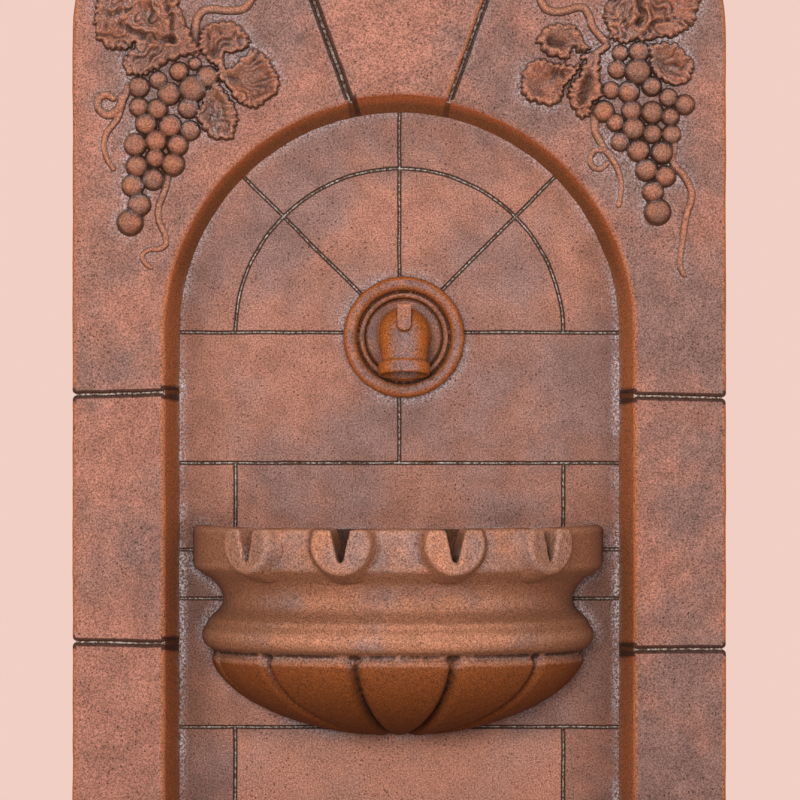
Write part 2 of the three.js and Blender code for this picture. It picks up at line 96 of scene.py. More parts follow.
def smooth_step(values: np.ndarray, low: float, high: float) -> np.ndarray:
    """Eases from 0 below one value to 1 above another.

    Args:
        values: Where to read the curve.
        low: Value at which it leaves 0.
        high: Value at which it reaches 1.

    Returns:
        The eased values.
    """
    share = np.clip((values - low) / (high - low), 0, 1)
    return share * share * (3 - 2 * share)


def smooth_path(points: list[Point], steps: int, closed: bool = False) -> list[Point]:
    """Draws a rounded line through a few points.

    Args:
        points: Points that the line passes through.
        steps: Steps between one point and the next.
        closed: Whether the line returns to its start.

    Returns:
        The points of the rounded line.
    """
    count = len(points)
    path = []
    for index in range(count if closed else count - 1):
        if closed:
            near = [points[(index + k) % count] for k in (-1, 0, 1, 2)]
        else:
            near = [points[min(max(index + k, 0), count - 1)] for k in (-1, 0, 1, 2)]
        for step in range(steps):
            t = step / steps
            weights = (
                -0.5 * t + t * t - 0.5 * t**3,
                1 - 2.5 * t * t + 1.5 * t**3,
                0.5 * t + 2 * t * t - 1.5 * t**3,
                -0.5 * t * t + 0.5 * t**3,
            )
            path.append(tuple(sum(w * p[axis] for w, p in zip(weights, near)) for axis in (0, 1)))
    if not closed:
        path.append(points[-1])
    return path


def straight(start: Point, end: Point, step: float) -> list[Point]:
    """Splits a straight line into even steps, without its last point.

    Args:
        start: First point.
        end: Last point, which is left out.
        step: Length of a step, roughly.

    Returns:
        The points from the start on.
    """
    count = max(1, round(math.dist(start, end) / step))
    return [tuple(a + (b - a) * i / count for a, b in zip(start, end)) for i in range(count)]


def arc(centre: Point, radius: float, start: float, end: float, step: float) -> list[Point]:
    """Splits an arc into even steps, without its last point.

    Args:
        centre: Centre of the arc.
        radius: Its radius.
        start: First angle in degrees, from +X towards +Z.
        end: Last angle in degrees.
        step: Length of a step, roughly.

    Returns:
        The points from the start on.
    """
    count = max(2, round(abs(math.radians(end - start)) * radius / step))
    turns = [math.radians(start + (end - start) * i / count) for i in range(count)]
    return [(centre[0] + radius * math.cos(t), centre[1] + radius * math.sin(t)) for t in turns]


def split_sides(corners: list[Point], step: float) -> list[Point]:
    """Splits the sides of a closed outline into even steps."""
    sides = zip(corners, corners[1:] + corners[:1])
    return [point for start, end in sides for point in straight(start, end, step)]


def rectangle(x0: float, x1: float, z0: float, z1: float) -> list[Point]:
    """Gives the corners of an upright rectangle."""
    return [(x0, z0), (x1, z0), (x1, z1), (x0, z1)]


def push_back(shape: bmesh.types.BMesh, faces: list[bmesh.types.BMFace],
              depth: float) -> list[bmesh.types.BMVert]:
    """Extrudes upright faces to a depth.

    Args:
        shape: Shape that the faces belong to.
        faces: Faces, which stay where they are.
        depth: Depth of the new faces.

    Returns:
        The new vertices.
    """
    made = bmesh.ops.extrude_face_region(shape, geom=faces, use_keep_orig=True)
    moved = [one for one in made["geom"] if isinstance(one, bmesh.types.BMVert)]
    for vert in moved:
        vert.co.y = depth
    return moved


def add_slab(shape: bmesh.types.BMesh, outline: list[Point], front: float,
             back: float) -> list[bmesh.types.BMVert]:
    """Adds an upright slab.

    Args:
        shape: Shape that it is added to.
        outline: Outline of its face.
        front: Depth of its face.
        back: Depth of its back.

    Returns:
        The vertices of its back.
    """
    face = shape.faces.new([shape.verts.new((x, front, z)) for x, z in outline])
    return push_back(shape, [face], back)


def round_edges(shape: bmesh.types.BMesh, edges: list[bmesh.types.BMEdge], offset: float,
                segments: int, clamp: bool = False) -> None:
    """Rounds the edges of a shape.

    Args:
        shape: Shape that is changed.
        edges: Edges that are rounded.
        offset: How far from the edge the round starts.
        segments: Facets of the round.
        clamp: Whether the round shrinks where there is little room.
    """
    bmesh.ops.bevel(
        shape, geom=edges, offset=offset, offset_type="OFFSET", segments=segments, profile=0.5,
        affect="EDGES", material=-1, clamp_overlap=clamp,
    )


def cut_off(shape: bmesh.types.BMesh, place: tuple, normal: tuple) -> None:
    """Cuts away what lies past a plane and closes the cut.

    Args:
        shape: Closed shape that is changed.
        place: A place on the plane.
        normal: Direction in which all is cut away.
    """
    cut = bmesh.ops.bisect_plane(
        shape, geom=[*shape.verts, *shape.edges, *shape.faces], plane_co=place, plane_no=normal,
        clear_outer=True,
    )
    rim = [one for one in cut["geom_cut"] if isinstance(one, bmesh.types.BMEdge)]
    bmesh.ops.contextual_create(shape, geom=rim)


def close_back(shape: bmesh.types.BMesh) -> None:
    """Closes the open flat back of a half-turned shape."""
    bmesh.ops.contextual_create(shape, geom=[one for one in shape.edges if one.is_boundary])


def merge_into(target: bmesh.types.BMesh, part: bmesh.types.BMesh) -> None:
    """Adds a part to a shape and frees the part."""
    mesh = bpy.data.meshes.new("part")
    part.to_mesh(mesh)
    part.free()
    target.from_mesh(mesh)
    bpy.data.meshes.remove(mesh)


def make_object(shape: bmesh.types.BMesh, name: str) -> bpy.types.Object:
    """Turns a shape in millimetres into an object in metres with its faces pointing out.

    Args:
        shape: Closed shape, which is freed.
        name: Name of the object and of its mesh.

    Returns:
        The new object.
    """
    bmesh.ops.remove_doubles(shape, verts=shape.verts, dist=WELD)
    bmesh.ops.recalc_face_normals(shape, faces=shape.faces)
    bmesh.ops.scale(shape, vec=(MM, MM, MM), verts=shape.verts)
    mesh = bpy.data.meshes.new(name)
    shape.to_mesh(mesh)
    shape.free()
    mesh.shade_smooth()
    made = bpy.data.objects.new(name, mesh)
    bpy.context.scene.collection.objects.link(made)
    return made


def settle(piece: bpy.types.Object) -> None:
    """Makes the modifiers of a piece part of its mesh."""
    bpy.context.view_layer.update()
    graph = bpy.context.evaluated_depsgraph_get()
    mesh = bpy.data.meshes.new_from_object(piece.evaluated_get(graph))
    mesh.name = piece.name
    old = piece.data
    piece.modifiers.clear()
    piece.data = mesh
    bpy.data.meshes.remove(old)


def combine(piece: bpy.types.Object, tool: bpy.types.Object, operation: str) -> None:
    """Joins a tool to a piece or cuts it out, and removes the tool.

    Args:
        piece: Piece that is changed.
        tool: Closed object that joins or cuts.
        operation: UNION or DIFFERENCE.
    """
    modifier = piece.modifiers.new("Combine", "BOOLEAN")
    modifier.operation = operation
    modifier.solver = "EXACT"
    modifier.object = tool
    settle(piece)
    bpy.data.objects.remove(tool)


def fuse(piece: bpy.types.Object, grain: float, passes: int) -> None:
    """Casts a piece as one even skin and softens its corners.

    Args:
        piece: Piece made of closed bodies.
        grain: Width of the facets of the skin, in millimetres.
        passes: How often the skin is softened.
    """
    remesh = piece.modifiers.new("Fuse", "REMESH")
    remesh.mode = "VOXEL"
    remesh.voxel_size = grain * MM
    remesh.use_smooth_shade = True
    soften = piece.modifiers.new("Soften", "SMOOTH")
    soften.factor = 0.5
    soften.iterations = passes
    settle(piece)
    piece.data.shade_smooth()


def weather(piece: bpy.types.Object, depth: float, length: float, seed: float) -> None:
    """Wears a skin unevenly, in and out along its normals.

    Args:
        piece: Finely divided piece.
        depth: Depth of the wear, in millimetres.
        length: Length of one hollow, in millimetres.
        seed: Offset that picks the pattern.
    """
    shift = Vector((seed, seed, seed))
    moves = []
    for vertex in piece.data.vertices:
        place = vertex.co / (length * MM) + shift
        wave = noise.noise(place) + 0.5 * noise.noise(2.7 * place)
        moves.append(vertex.co + vertex.normal * (wave * depth * MM))
    for vertex, place in zip(piece.data.vertices, moves):
        vertex.co = place
    piece.data.update()


def write_marks(piece: bpy.types.Object, values: list[float] | np.ndarray) -> None:
    """Notes one value on each vertex, for the finish to read."""
    piece.data.attributes.new(BULGE, "FLOAT", "POINT").data.foreach_set("value", values)


def split_corners(piece: bpy.types.Object) -> None:
    """Keeps the corners of a plain piece sharp in its shading."""
    piece.modifiers.new("Corners", "EDGE_SPLIT").split_angle = math.radians(SPLIT_ANGLE)


def flatten_faces(piece: bpy.types.Object) -> None:
    """Keeps the large faces of a piece flat in its shading, up to their rounded edges."""
    piece.modifiers.new("Flat faces", "WEIGHTED_NORMAL").keep_sharp = True


def mark_relief(piece: bpy.types.Object, passes: int) -> None:
    """Notes on each vertex how far it stands out from its evened surroundings, in millimetres.

    Args:
        piece: Finely divided piece.
        passes: How often the surroundings are evened.
    """
    mesh = piece.data
    count = len(mesh.vertices)
    places, normals = np.empty(3 * count), np.empty(3 * count)
    pairs = np.empty(2 * len(mesh.edges), np.int64)
    mesh.vertices.foreach_get("co", places)
    mesh.vertices.foreach_get("normal", normals)
    mesh.edges.foreach_get("vertices", pairs)
    places, normals, pairs = places.reshape(-1, 3), normals.reshape(-1, 3), pairs.reshape(-1, 2)
    ends = np.concatenate([pairs[:, 0], pairs[:, 1]])
    others = np.concatenate([pairs[:, 1], pairs[:, 0]])
    share = 0.5 / np.maximum(np.bincount(ends, minlength=count), 1)
    even = places.copy()
    for _ in range(passes):
        sums = [np.bincount(ends, weights=even[others, axis], minlength=count) for axis in range(3)]
        even = 0.5 * even + np.stack(sums, axis=1) * share[:, None]
    bulge = ((places - even) * normals).sum(axis=1) / MM
    write_marks(piece, bulge.astype(np.float32))


def register(piece: bpy.types.Object, node: Node, material: bpy.types.Material) -> None:
    """Dresses a piece, ties it to the body and reports it.

    Args:
        piece: Finished piece, without a material.
        node: Solid that it stands for.
        material: Its material.
    """
    piece.data.materials.append(material)
    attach(piece, BODY)
    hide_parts(node.value)
    triangles = sum(len(face.vertices) - 2 for face in piece.data.polygons)
    LOG.info("%s: %d triangles", piece.name, triangles)


@dataclass(frozen=True)
class Grain:
    """Fineness of a noise: how many waves there are in a metre, its detail and its roughness."""

    scale: float
    detail: float = 2.0
    roughness: float = 0.5


CLOUDS = Grain(46.0, 4.0, 0.6)
SKIN = Grain(950.0, 3.0, 0.65)
BUMPS = Grain(760.0, 3.0, 0.65)
SPECKLE = Grain(560.0, 2.0, 0.7)
DUST_GROUPS = Grain(22.0)
PIT_GROUPS = Grain(30.0)
PIT_SCALE = 300.0


class Recipe:
    """Node tree of one material, built a node at a time."""

    def __init__(self, name: str) -> None:
        """Starts an empty material."""
        self.material = bpy.data.materials.new(name)
        self.material.use_nodes = True
        self.tree = self.material.node_tree
        self.tree.nodes.clear()

    def add(self, kind: str, inputs: dict | None = None, **settings: object) -> bpy.types.Node:
        """Adds a node.

        Args:
            kind: Type of the node.
            inputs: Values or sockets for its inputs, by name or number.
            settings: Values for its properties.

        Returns:
            The node.
        """
        node = self.tree.nodes.new(kind)
        for name, value in settings.items():
            setattr(node, name, value)
        for key, value in (inputs or {}).items():
            if isinstance(value, bpy.types.NodeSocket):
                self.tree.links.new(value, node.inputs[key])
            else:
                node.inputs[key].default_value = value
        return node

    def maths(self, operation: str, first: object, second: object = 0.0) -> bpy.types.NodeSocket:
        """Adds a sum on numbers, kept between 0 and 1, and gives its output."""
        node = self.add("ShaderNodeMath", {0: first, 1: second}, operation=operation, use_clamp=True)
        return node.outputs[0]

    def span(self, value: object, low: float, high: float, start: float = 0.0, end: float = 1.0,
             ) -> bpy.types.NodeSocket:
        """Eases a number from one range to another and gives the output."""
        node = self.add(
            "ShaderNodeMapRange",
            {0: value, 1: low, 2: high, 3: start, 4: end},
            interpolation_type="SMOOTHSTEP",
        )
        return node.outputs[0]

    def times(self, first: object, second: object) -> bpy.types.NodeSocket:
        """Multiplies two numbers and gives the output, kept between 0 and 1."""
        return self.maths("MULTIPLY", first, second)

    def noise(self, place: bpy.types.NodeSocket, grain: Grain) -> bpy.types.NodeSocket:
        """Adds a noise of a given fineness and gives its value."""
        node = self.add(
            "ShaderNodeTexNoise",
            {"Vector": place, "Scale": grain.scale, "Detail": grain.detail, "Roughness": grain.roughness},
        )
        return node.outputs["Fac"]

    def grey(self, value: bpy.types.NodeSocket) -> bpy.types.NodeSocket:
        """Makes a grey of a number and gives the output."""
        return self.add("ShaderNodeCombineXYZ", {0: value, 1: value, 2: value}).outputs[0]

    def dim(self, colour: bpy.types.NodeSocket, value: bpy.types.NodeSocket) -> bpy.types.NodeSocket:
        """Multiplies a colour by a number and gives the output."""
        return self.blend(1.0, colour, self.grey(value), "MULTIPLY")

    def openness(self, reach: float, rays: int) -> bpy.types.NodeSocket:
        """Measures how open a place is and gives the output.

        Args:
            reach: How far to look, in millimetres.
            rays: How many rays look.

        Returns:
            The open share.
        """
        node = self.add("ShaderNodeAmbientOcclusion", {"Distance": reach * MM}, samples=rays)
        return node.outputs["AO"]

    def blend(self, share: object, first: object, second: object,
              mode: str = "MIX") -> bpy.types.NodeSocket:
        """Mixes two colours and gives the output.

        Args:
            share: Share of the second colour.
            first: First colour or socket.
            second: Second colour or socket.
            mode: How they mix.

        Returns:
            The mixed colour.
        """
        node = self.add("ShaderNodeMix", data_type="RGBA", blend_type=mode)
        sockets = {"Factor_Float": share, "A_Color": first, "B_Color": second}
        for socket in node.inputs:
            if socket.identifier in sockets:
                value = sockets[socket.identifier]
                if isinstance(value, bpy.types.NodeSocket):
                    self.tree.links.new(value, socket)
                else:
                    socket.default_value = (*value, 1.0) if isinstance(value, tuple) else value
        return next(out for out in node.outputs if out.identifier == "Result_Color")


def srgb(code: str) -> Colour:
    """Turns a hexadecimal screen colour into a linear one."""
    values = [int(code[i:i + 2], 16) / 255 for i in (0, 2, 4)]
    return tuple(v / 12.92 if v <= 0.04045 else ((v + 0.055) / 1.055) ** 2.4 for v in values)


@dataclass(frozen=True)
class StoneFinish:
    """Stained cast stone: mottled faces, brown sides, dusty corners, crests lightened by wear and a
    painted highlight, hollows darkened with patina and painted shade, and broad painted shade.

    Spans are the two ends of an eased step. Those of hollow_span are of the open share, those of
    crest_span and crevice_span are of the noted relief, and those of side_slopes are of how far
    the surface faces the front.
    """

    name: str
    warm: Colour
    cool: Colour
    side: Colour
    side_deep: Colour | None = None
    under: Colour = srgb("7A4424")
    # Lighter colour of rubbed crests, also used as painted highlight and painted light.
    worn_and_lit: Colour = srgb("A05C36")
    deep: Colour = srgb("2A150A")
    dust: Colour = srgb("B3A9AB")
    side_depths: tuple[float, float] = (100.0, 200.0)
    side_slopes: tuple[float, float] = (0.95, 0.5)
    patch: float = 11.0
    cool_span: tuple[float, float] = (0.40, 0.62)
    drift: float = 0.0
    worn_and_lit_share: float = 0.7
    crevice_share: float = 0.9
    dust_share: float = 0.7
    under_share: float = 0.0
    under_top: float = 1000.0
    under_least: float = 0.0
    hollow_span: tuple[float, float] = (0.55, 0.2)
    crest_span: tuple[float, float] = (0.1, 0.55)
    crevice_span: tuple[float, float] = (-0.1, -0.62)
    # Least factor of the broad painted shade in enclosed places.
    shade: float = 0.62
    hollow_share: float = 1.0
    wall_shade: float = 0.0
    grain_span: tuple[float, float] = (0.3, 1.7)
    pit_share: float = 0.75
    roughness: float = 0.8
    marked: bool = False

    def make(self) -> bpy.types.Material:
        """Builds the material.

        Returns:
            The material.
        """
        recipe = Recipe(self.name)
        place = recipe.add("ShaderNodeTexCoord").outputs["Object"]
        axes = recipe.add("ShaderNodeSeparateXYZ", {0: place})
        normal = recipe.add("ShaderNodeNewGeometry").outputs["Normal"]
        slopes = recipe.add("ShaderNodeSeparateXYZ", {0: normal})
        colour = self.mottle(recipe, place, axes)
        # Surfaces turned from the front take the side colours: brown stain on the reveals and sides, and
        # painted shade on slopes turned away from the frontal light.
        front = recipe.times(slopes.outputs["Y"], -1.0)
        depth = recipe.span(axes.outputs["Y"], *(value * MM for value in self.side_depths))
        sides = recipe.blend(depth, self.side, self.side_deep or self.side)
        colour = recipe.blend(recipe.span(front, *self.side_slopes), colour, sides)
        if self.under_share:
            colour = recipe.blend(self.underside(recipe, axes, slopes), colour, self.under)
        colour = self.age(recipe, place, axes, slopes, colour)
        fine = recipe.span(recipe.noise(place, SKIN), 0.25, 0.75, *self.grain_span)
        pits = self.pits(recipe, place)
        colour = recipe.blend(recipe.times(pits, self.pit_share), recipe.dim(colour, fine), self.deep)
        rough = recipe.add(
            "ShaderNodeBump",
            {"Strength": 0.55, "Distance": 0.45 * MM, "Height": recipe.noise(place, BUMPS)},
        )
        pitted = recipe.add(
            "ShaderNodeBump",
            {"Strength": 0.5, "Distance": 0.5 * MM, "Height": pits, "Normal": rough.outputs[0]},
            invert=True,
        )
        shader = recipe.add(
            "ShaderNodeBsdfPrincipled",
            {"Base Color": colour, "Roughness": self.roughness, "Normal": pitted.outputs[0],
             "Specular IOR Level": 0.25},
        )
        recipe.add("ShaderNodeOutputMaterial", {"Surface": shader.outputs[0]})
        return recipe.material

    def mottle(self, recipe: Recipe, place: bpy.types.NodeSocket,
               axes: bpy.types.Node) -> bpy.types.NodeSocket:
        """Mixes the two stains of the faces in broad patches and small clouds.

        Args:
            recipe: Material that is built.
            place: Place on the fountain.
            axes: Node that splits the place.

        Returns:
            The colour.
        """
        patches = recipe.noise(place, Grain(self.patch, 3.0, 0.6))
        # drift tilts the mix along X: the cool, darker colour gains towards +X.
        lean = recipe.add(
            "ShaderNodeMath", {0: axes.outputs["X"], 1: self.drift, 2: patches},
            operation="MULTIPLY_ADD",
        ).outputs[0]
        colour = recipe.blend(recipe.span(lean, *self.cool_span), self.warm, self.cool)
        return recipe.dim(colour, recipe.span(recipe.noise(place, CLOUDS), 0.3, 0.7, 0.82, 1.16))

    def underside(self, recipe: Recipe, axes: bpy.types.Node,
                  slopes: bpy.types.Node) -> bpy.types.NodeSocket:
        """Finds how far the under colour covers a place: below a height, most on surfaces that face down.

        Args:
            recipe: Material that is built.
            axes: Node that splits the place.
            slopes: Node that splits the direction that the surface faces.

        Returns:
            The covered share.
        """
        down = recipe.times(slopes.outputs["Z"], -1.0)
        down = recipe.span(down, 0.0, 0.35, self.under_least, 1.0)
        low = recipe.span(axes.outputs["Z"], self.under_top * MM, (self.under_top - 6) * MM)
        return recipe.times(recipe.times(down, low), self.under_share)

    def age(self, recipe: Recipe, place: bpy.types.NodeSocket, axes: bpy.types.Node,
            slopes: bpy.types.Node, colour: bpy.types.NodeSocket) -> bpy.types.NodeSocket:
        """Wears the crests and lights them with a painted highlight, leaves dust in the corners, darkens
        the hollows with patina and painted shade, and dims enclosed places with painted shade.

        Args:
            recipe: Material that is built.
            place: Place on the fountain.
            axes: Node that splits the place.
            slopes: Node that splits the direction that the surface faces.
            colour: Colour before ageing.

        Returns:
            The colour.
        """
        near = recipe.openness(NEAR_REACH, NEAR_RAYS)
        far = recipe.openness(FAR_REACH, FAR_RAYS)
        upper = recipe.span(slopes.outputs["Z"], -0.35, -0.05)
        # Hollows, crevices and enclosed places take the deep colour: dark patina and painted shade.
        hollow = recipe.maths(
            "MAXIMUM", recipe.span(near, *self.hollow_span), recipe.span(far, 0.25, 0.08),
        )
        hollow = recipe.times(hollow, self.hollow_share)
        if self.marked:
            bulge = recipe.add("ShaderNodeAttribute", attribute_name=BULGE).outputs["Fac"]
            crest = recipe.times(recipe.span(bulge, *self.crest_span), upper)
            crevice = recipe.span(bulge, *self.crevice_span, 0.0, self.crevice_share)
            hollow = recipe.maths("MAXIMUM", hollow, crevice)
            # Crests that do not face down take the lighter crest colour: wear, and a painted highlight where
            # the light falls.
            colour = recipe.blend(recipe.times(crest, self.worn_and_lit_share), colour, self.worn_and_lit)
        corners = recipe.span(near, 0.92, 0.6)
        # Painted shade beside the bowl and painted light under it, then dust along the niche sides.
        if self.wall_shade:
            aside = recipe.maths("ABSOLUTE", axes.outputs["X"])
            colour = self.paint_wall_shade_and_light(recipe, aside, axes.outputs["Z"], colour)
            corners = recipe.maths("MAXIMUM", corners, recipe.span(aside, 0.148, 0.153))
        # Painted shade: where the far openness is low, the colour is dimmed down to the shade factor.
        colour = recipe.dim(colour, recipe.span(far, 0.3, 0.9, self.shade, 1.0))
        speckle = recipe.span(recipe.noise(place, SPECKLE), 0.42, 0.58)
        groups = recipe.span(recipe.noise(place, DUST_GROUPS), 0.4, 0.6, 0.25, 1.0)
        dusty = recipe.times(recipe.times(corners, recipe.times(speckle, groups)), upper)
        colour = recipe.blend(recipe.times(dusty, self.dust_share), colour, self.dust)
        return recipe.blend(hollow, colour, self.deep)

    def paint_wall_shade_and_light(self, recipe: Recipe, aside: bpy.types.NodeSocket, height: bpy.types.NodeSocket,
                   colour: bpy.types.NodeSocket) -> bpy.types.NodeSocket:
        """Paints shade on the sides of the niche, most beside the bowl, and paints light on the stones under
        the bowl. Spans are in metres.

        Args:
            recipe: Material that is built.
            aside: Distance from the middle.
            height: Place up.
            colour: Colour of the wall.

        Returns:
            The colour.
        """
        # Painted shade on the niche sides, strongest between the heights of the bowl.
        lower = recipe.span(height, -0.246, -0.225, 0.65, 1.0)
        above = recipe.span(height, -0.095, -0.07, 1.0, 0.5)
        shaded = recipe.span(aside, 0.112, 0.155, 0.0, self.wall_shade)
        shaded = recipe.times(shaded, recipe.times(lower, above))
        colour = recipe.blend(shaded, colour, self.under)
        # Painted light on the stones under the middle of the bowl.
        lit_below_bowl = recipe.times(
            recipe.span(aside, 0.1165, 0.1145), recipe.span(height, -0.229, -0.246, 0.0, 0.5),
        )
        return recipe.blend(lit_below_bowl, colour, self.worn_and_lit)

    def pits(self, recipe: Recipe, place: bpy.types.NodeSocket) -> bpy.types.NodeSocket:
        """Scatters small round pits in loose groups."""
        cells = recipe.add(
            "ShaderNodeTexVoronoi", {"Vector": place, "Scale": PIT_SCALE, "Randomness": 1.0},
        )
        dots = recipe.span(cells.outputs["Distance"], 0.26, 0.14)
        groups = recipe.span(recipe.noise(place, PIT_GROUPS), 0.36, 0.6)
        chosen = recipe.add("ShaderNodeSeparateXYZ", {0: cells.outputs["Color"]}).outputs["X"]
        return recipe.times(recipe.times(dots, groups), recipe.span(chosen, 0.45, 0.5))


FRAME_FINISH = StoneFinish(
    name="Frame stone",
    warm=srgb("936252"),
    cool=srgb("78584F"),
    side=srgb("98502A"),
    side_deep=srgb("744120"),
    side_depths=(-43.0, -30.0),
    drift=0.35,
    hollow_span=(0.5, 0.2),
    hollow_share=0.3,
    crest_span=(0.1, 0.6),
    crevice_span=(-0.05, -0.6),
    crevice_share=0.85,
    shade=0.8,
    marked=True,
)
# In the niche the under colour is the painted shade beside the bowl and the lighter crest colour is the
# painted light under it; every stone bevel takes the deep colour of the hollows.
NICHE_FINISH = StoneFinish(
    name="Niche stone",
    warm=srgb("956554"),
    cool=srgb("7E5E56"),
    side=srgb("44261A"),
    under=srgb("5A3828"),
    worn_and_lit=srgb("BC8068"),
    deep=srgb("382014"),
    worn_and_lit_share=0.0,
    hollow_share=0.6,
    crevice_span=(-0.05, -0.6),
    wall_shade=0.72,
    shade=0.66,
    marked=True,
)
JOINT_FINISH = StoneFinish(
    name="Joint dust",
    warm=srgb("57412F"),
    cool=srgb("A3978E"),
    side=srgb("6A3A1A"),
    side_deep=srgb("5A3016"),
    side_depths=(-42.0, -32.0),
    patch=420.0,
    cool_span=(0.42, 0.6),
    dust_share=0.0,
    hollow_span=(0.12, 0.02),
    shade=0.9,
)
# On the vine the side colour on slopes turned from the front is painted shade that rounds the berries and
# leaves, and the deep colour in the hollows paints the shadows round them.
VINE_FINISH = StoneFinish(
    name="Vine stone",
    warm=srgb("8A543E"),
    cool=srgb("785345"),
    side=srgb("5E3A26"),
    worn_and_lit=srgb("AC745A"),
    deep=srgb("3A2014"),
    patch=30.0,
    side_slopes=(0.9, 0.3),
    hollow_span=(0.45, 0.12),
    crest_span=(0.15, 1.0),
    crevice_span=(-0.2, -1.0),
    worn_and_lit_share=0.5,
    crevice_share=0.75,
    pit_share=0.3,
    marked=True,
)
ROSETTE_FINISH = StoneFinish(
    name="Rosette stone",
    warm=srgb("8E5D4A"),
    cool=srgb("7A5B54"),
    side=srgb("96501C"),
    under=srgb("8A4616"),
    worn_and_lit=srgb("B98468"),
    patch=38.0,
    side_slopes=(0.985, 0.68),
    under_share=0.5,
    crest_span=(0.35, 0.9),
    worn_and_lit_share=0.5,
    crevice_share=0.8,
    dust_share=0.25,
    pit_share=0.4,
    marked=True,
)
BOWL_FINISH = StoneFinish(
    name="Bowl stone",
    warm=srgb("A06A50"),
    cool=srgb("84645A"),
    side=srgb("86563C"),
    under=srgb("73390F"),
    worn_and_lit=srgb("B47E64"),
    patch=16.0,
    under_share=0.95,
    under_top=-176.0,
    under_least=0.8,
    crest_span=(0.15, 0.6),
    worn_and_lit_share=0.28,
    crevice_span=(-0.3, -0.9),
    crevice_share=0.9,
    dust_share=0.4,
    pit_share=0.5,
    marked=True,
)
BASIN_FINISH = replace(
    BOWL_FINISH,
    name="Basin stone",
    patch=11.0,
    under_share=0.8,
    under_top=-366.0,
    crevice_span=(-0.1, -0.62),
)
# Painted shadow: the dark colour of the sheet behind the bowl, seen through its notches.
SHADOW_SHEET_FINISH = StoneFinish(
    name="Painted shadow stone",
    warm=srgb("4A2A18"),
    cool=srgb("33201A"),
    side=srgb("33201A"),
    dust_share=0.2,
)


@dataclass(frozen=True)
class PanelSizes:
    """Sizes of the panel that its blocks, its niche and its relief share, in millimetres."""

    width: float = 458
    thickness: float = 45
    foot: float = -440
    spring: float = 252
    rise: float = 122
    power: float = 2.6
    jamb: float = 64.5
    niche_back: float = 18
    draft: float = 9.5
    arch_height: float = 47.6
    sill: float = -296
    keystone_foot: float = 212
    keystone_width: float = 69
    keystone_flare: float = 0.724
    keystone_rise: float = 8
    keystone_proud: float = 6

    @property
    def arch_radius(self) -> float:
        """Radius of the niche at the front of the panel."""
        return self.width / 2 - self.jamb

    @property
    def back_radius(self) -> float:
        """Radius of the niche at its back."""
        return self.arch_radius - self.draft

    @property
    def centre(self) -> Point:
        """Centre of the arch."""
        return (0.0, self.arch_height)

    def radius_at(self, y: float) -> float:
        """Gives the radius of the niche at a depth, on its drafted side."""
        return self.arch_radius - self.draft * (self.thickness + y) / (self.thickness - self.niche_back)

    def head(self, turn: float, grow: float = 0.0) -> Point:
        """Finds a point on the curve of the head.

        Args:
            turn: Angle in radians, from +X towards +Z.
            grow: How far outside the head the curve lies.

        Returns:
            The point.
        """
        across, up = math.cos(turn), math.sin(turn)
        half, rise = self.width / 2 + grow, self.rise + grow
        x = half * math.copysign(abs(across) ** (2 / self.power), across)
        return (x, self.spring + rise * abs(up) ** (2 / self.power))

    def keystone_half(self, height: float) -> float:
        """Gives half the width of the keystone at a height."""
        return self.keystone_width / 2 + self.keystone_flare / 2 * (height - self.keystone_foot)

    def keystone_corner(self, radius: float, gap: float) -> float:
        """Finds the angle at which the side of the keystone, moved out by a gap, meets an arch."""
        def past_side(turn: float) -> float:
            height = self.arch_height + radius * math.sin(turn)
            return self.keystone_half(height) + gap - radius * math.cos(turn)

        return find_root(past_side, 0.0, math.pi / 2)

    def keystone_top(self, grow: float, gap: float) -> float:
        """Finds the angle at which the side of the keystone, moved out by a gap, meets the head."""
        def past_side(turn: float) -> float:
            x, z = self.head(turn, grow)
            return self.keystone_half(z) + gap - x

        return find_root(past_side, 0.0, math.pi / 2)


def find_root(measure, low: float, high: float) -> float:
    """Finds where a rising measure passes 0.

    Args:
        measure: Function of one number, below 0 at the low end and above 0 at the high end.
        low: Low end of the search.
        high: High end of the search.

    Returns:
        The place where it is 0.
    """
    for _ in range(40):
        middle = (low + high) / 2
        if measure(middle) < 0:
            low = middle
        else:
            high = middle
    return (low + high) / 2


